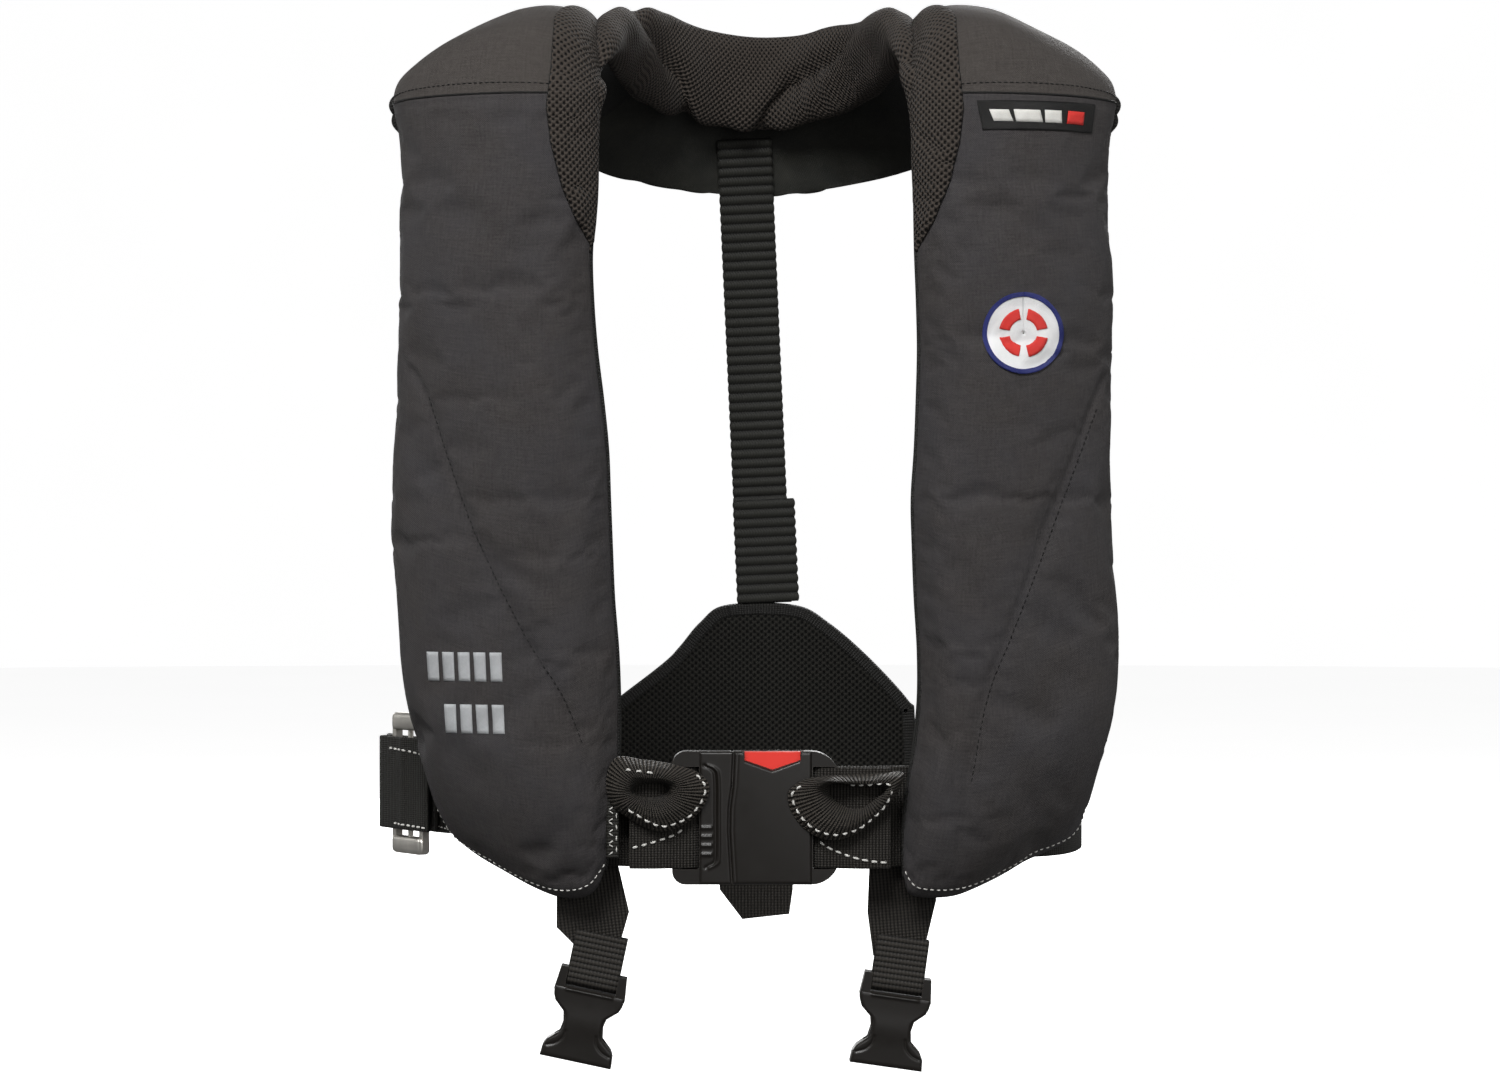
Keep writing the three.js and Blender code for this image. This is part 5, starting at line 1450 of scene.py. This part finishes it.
rows, cols = 150, 96
v = np.linspace(0, 1, rows)[:, None]
x_left = table(SEAM, np.linspace(BUCKLE_LOW, BUCKLE_HIGH, rows))[:, None]
x = x_left + (29.4 - x_left) * np.linspace(0, 1, cols)[None]
z_top = np.where((x > -5.9) & (x < 23.9), np.interp(x, [p[0] for p in WINDOW], [p[1] for p in WINDOW]), BUCKLE_HIGH)
z = BUCKLE_LOW + (z_top - BUCKLE_LOW) * v
edge = rounded(x, z, x_left, 29.4, BUCKLE_LOW, z_top, 1.6)
crown = 1.5 * (1 - ((x - 9) / 34) ** 2) * (1 - ((z - BUCKLE_MID) / 52) ** 2)
line_gap, _ = to_line(np.stack([x, z], axis=-1), [(p[1] + 1.9, p[0]) for p in SEAM])
rise = 0.2 + edge * (0.7 + crown) - 0.45 * np.exp(-((line_gap / 0.45) ** 2)) * edge
face_plate("buckle_housing_face", x, z, rise, "jacket", onto_buckle)

x_right = x_left - 0.7
x = -28.7 + (x_right + 28.7) * np.linspace(0, 1, 72)[None]
z = BUCKLE_LOW + (BUCKLE_HIGH - BUCKLE_LOW) * v + 0 * x
edge = rounded(x, z, -28.7, x_right, BUCKLE_LOW, BUCKLE_HIGH, 1.4)
xz = np.stack([x, z], axis=-1)
BRACKET = [
    (-24.5, -351.8), (-20.6, -353.6), (-18.8, -358), (-18.6, -379),
    (-18.6, -399), (-19.6, -402.4), (-23.6, -404.6),
]
bracket, _ = to_line(xz, spline(BRACKET, 60))
trough, _ = to_line(xz, spline([(a - 2.0, b) for a, b in BRACKET], 60))
ribs = sum(np.exp(-(((z - at) / 0.95) ** 2)) for at in (-384, -388.6, -393.2, -397.8)) * smoothstep(-x, 21.6, 22.6)
rise = 0.2 + edge * (0.9 + 0.7 * np.exp(-((bracket / 0.8) ** 2)) - 0.7 * np.exp(-((trough / 0.8) ** 2)) + 0.8 * ribs)
face_plate("buckle_tongue_face", x, z, rise, "buckle_tongue", onto_buckle)

LEG_OUTLINE = [
    (4, 17.5), (-8, 18.8), (-14, 17), (-19, 11.5), (-24, 10.5),
    (-30, 11.5), (-35, 17), (-38, 18.5), (-44, 19),
]
LEG_ARC = [(8.2, -29), (9.2, -33), (12.5, -36.4), (16.5, -38)]
LEG_FACE_TOP, LEG_FACE_LOW = -6.2, -43.8
for name, leg in LEGS.items():
    z1 = np.linspace(LEG_FACE_TOP, LEG_FACE_LOW, 110)
    tall, wide = spline(LEG_OUTLINE, 400).T
    half = np.interp(-z1, -tall, wide)[:, None] - 0.3
    x = half * np.linspace(-1, 1, 80)[None]
    z = z1[:, None] + 0 * x
    edge = rounded(x, z, -half, half, LEG_FACE_LOW, LEG_FACE_TOP, 2.2)
    lip = np.exp(-(((z + 7.4) / 0.8) ** 2)) * smoothstep(13.5 - np.abs(x), 0, 2)
    arc, _ = to_line(np.stack([np.abs(x), z], axis=-1), spline(LEG_ARC, 40))
    waist = 0.5 * np.exp(-(((z + 24) / 7) ** 2))
    rise = 0.1 + edge * (0.9 + waist) + 0.75 * lip - 0.6 * np.exp(-((arc / 0.7) ** 2)) * edge
    for side_name, sign in (("front", 1), ("back", -1)):

        def hang(points, sign=sign, leg=leg):
            return tilted((points - (0, 5.5, 0)) * (1, sign, 1), leg["tilt"]) + leg["bar"]

        face_plate(f"leg_buckle_face_{side_name}_{name}", x, z, rise, f"leg_buckle_{name}", hang)

# ---------------------------------------------------------------- inside the covers
for name in ("bladder_inner_chamber", "bladder_outer_chamber"):
    copy = NODES[name].data.copy()
    soft = link(bpy.data.objects.new(name.replace("chamber", "cell"), copy))
    copy.materials.clear()
    copy.materials.append(M["bladder"])
    edit = bmesh.new()
    edit.from_mesh(copy)
    bmesh.ops.remove_doubles(edit, verts=edit.verts, dist=1e-5)
    edit.to_mesh(copy)
    edit.free()
    copy.polygons.foreach_set("use_smooth", [True] * len(copy.polygons))
    finish(soft, "jacket", "bladder", name)

POCKETS = {
    "right": {"origin": (-127.7, -86), "out": (-0.9077, 0.4196), "face": (-0.4196, -0.9077), "shift": 7},
    "left": {"origin": (134.5, -86), "out": (0.8907, 0.4545), "face": (0.4545, -0.8907), "shift": 3},
}
CORD_TOP = (-23, 5.5, -355.9)
CORD_DROP = 404.4 - 355.9 - 0.3
CORD_SLANT = -0.195
for name, pocket in POCKETS.items():
    origin = np.array([*pocket["origin"], 0]) + np.array([*pocket["out"], 0]) * pocket["shift"]
    out, face = np.array([*pocket["out"], 0]), np.array([*pocket["face"], 0])
    down = np.linspace(0, CORD_DROP, 24)[:, None]
    line = origin + out * CORD_TOP[0] + face * (CORD_TOP[1] + CORD_SLANT * down) + (0, 0, 1) * (CORD_TOP[2] - down)
    across = np.broadcast_to((1.0, 0.0, 0.0), line.shape)
    ahead = directions(line)
    up = unit(np.cross(ahead, across))
    cord = swept(f"pull_line_{name}", line, np.cross(up, ahead), up, circle(12), M["cord"])
    finish(cord, f"pull_toggle_{name}", "red_cord", f"pull_cord_{name}")


# ---------------------------------------------------------------- carried-over CAD nodes
def dress(node, material, bevel=0.0, segments=2):
    """Gives a CAD node its material and, with a bevel in millimetres, rounded edges."""
    obj = NODES[node]
    obj.data.materials.clear()
    obj.data.materials.append(M[material])
    if bevel:
        flat = obj.modifiers.new("flat faces", "DECIMATE")
        flat.decimate_type = "DISSOLVE"
        flat.angle_limit = math.radians(1.5)
        soft = obj.modifiers.new("rounded edges", "BEVEL")
        soft.width = bevel * MM
        soft.segments = segments
        soft.limit_method = "ANGLE"
        soft.angle_limit = math.radians(28)
        soft.harden_normals = True
        obj.data.polygons.foreach_set("use_smooth", [True] * len(obj.data.polygons))


SIDED = {
    "co2_cylinder": ("painted", 0.0), "inflator_body": ("yellow", 0.6), "inflator_cap": ("red", 0.5),
    "inflation_valve": ("black", 0.3), "inflator_lever": ("red", 0.4), "lever_pin": ("steel", 0.2),
    "pull_toggle": ("red", 0.6), "oral_tube": ("black", 0.3), "oral_tube_cap": ("red", 0.4),
    "leg_buckle": ("black", 0.7, 3),
}
for side in ("right", "left"):
    for node, look in SIDED.items():
        dress(f"{node}_{side}", *look)
SINGLE = {
    "whistle": ("yellow", 0.8), "light_battery": ("yellow", 0.6), "light_lens": ("clear", 0.4),
    "buckle_housing": ("black", 0.8, 3), "buckle_tongue": ("black", 0.8, 3), "buckle_button": ("red", 0.5, 3),
    "button_spring": ("steel", 0.0), "adjuster_frame": ("steel", 0.8, 3), "adjuster_bar": ("steel", 0.3),
}
for node, look in SINGLE.items():
    dress(node, *look)
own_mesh(NODES["button_spring"])

# ---------------------------------------------------------------- stage
# A pale floor inside a pale dome. Both are backgrounds only: they neither light the object nor shade it.
FLOOR_Z, DOME_R, SPOKES = -530, 7000, 64
spokes = np.linspace(0, 2 * math.pi, SPOKES, endpoint=False)


def around(name, rings):
    """A surface of revolution about Z, through rings of (radius, height)."""
    points = np.array([[(r * math.cos(a), r * math.sin(a), z) for a in spokes] for r, z in rings])
    obj = mesh_of(name, points, [f[::-1] for f in quads(len(rings), SPOKES, closed_cols=True)], M["floor"])
    obj.visible_diffuse = obj.visible_glossy = obj.visible_transmission = obj.visible_shadow = False


around("studio_floor", [(r, FLOOR_Z) for r in (1, 300, 900, 2000, 4000, DOME_R)])
heights = np.linspace(0, math.pi / 2, 16)[:-1]
dome = [(DOME_R * math.cos(h), FLOOR_Z + DOME_R * math.sin(h)) for h in heights]
around("studio_dome", dome + [(1, FLOOR_Z + DOME_R)])
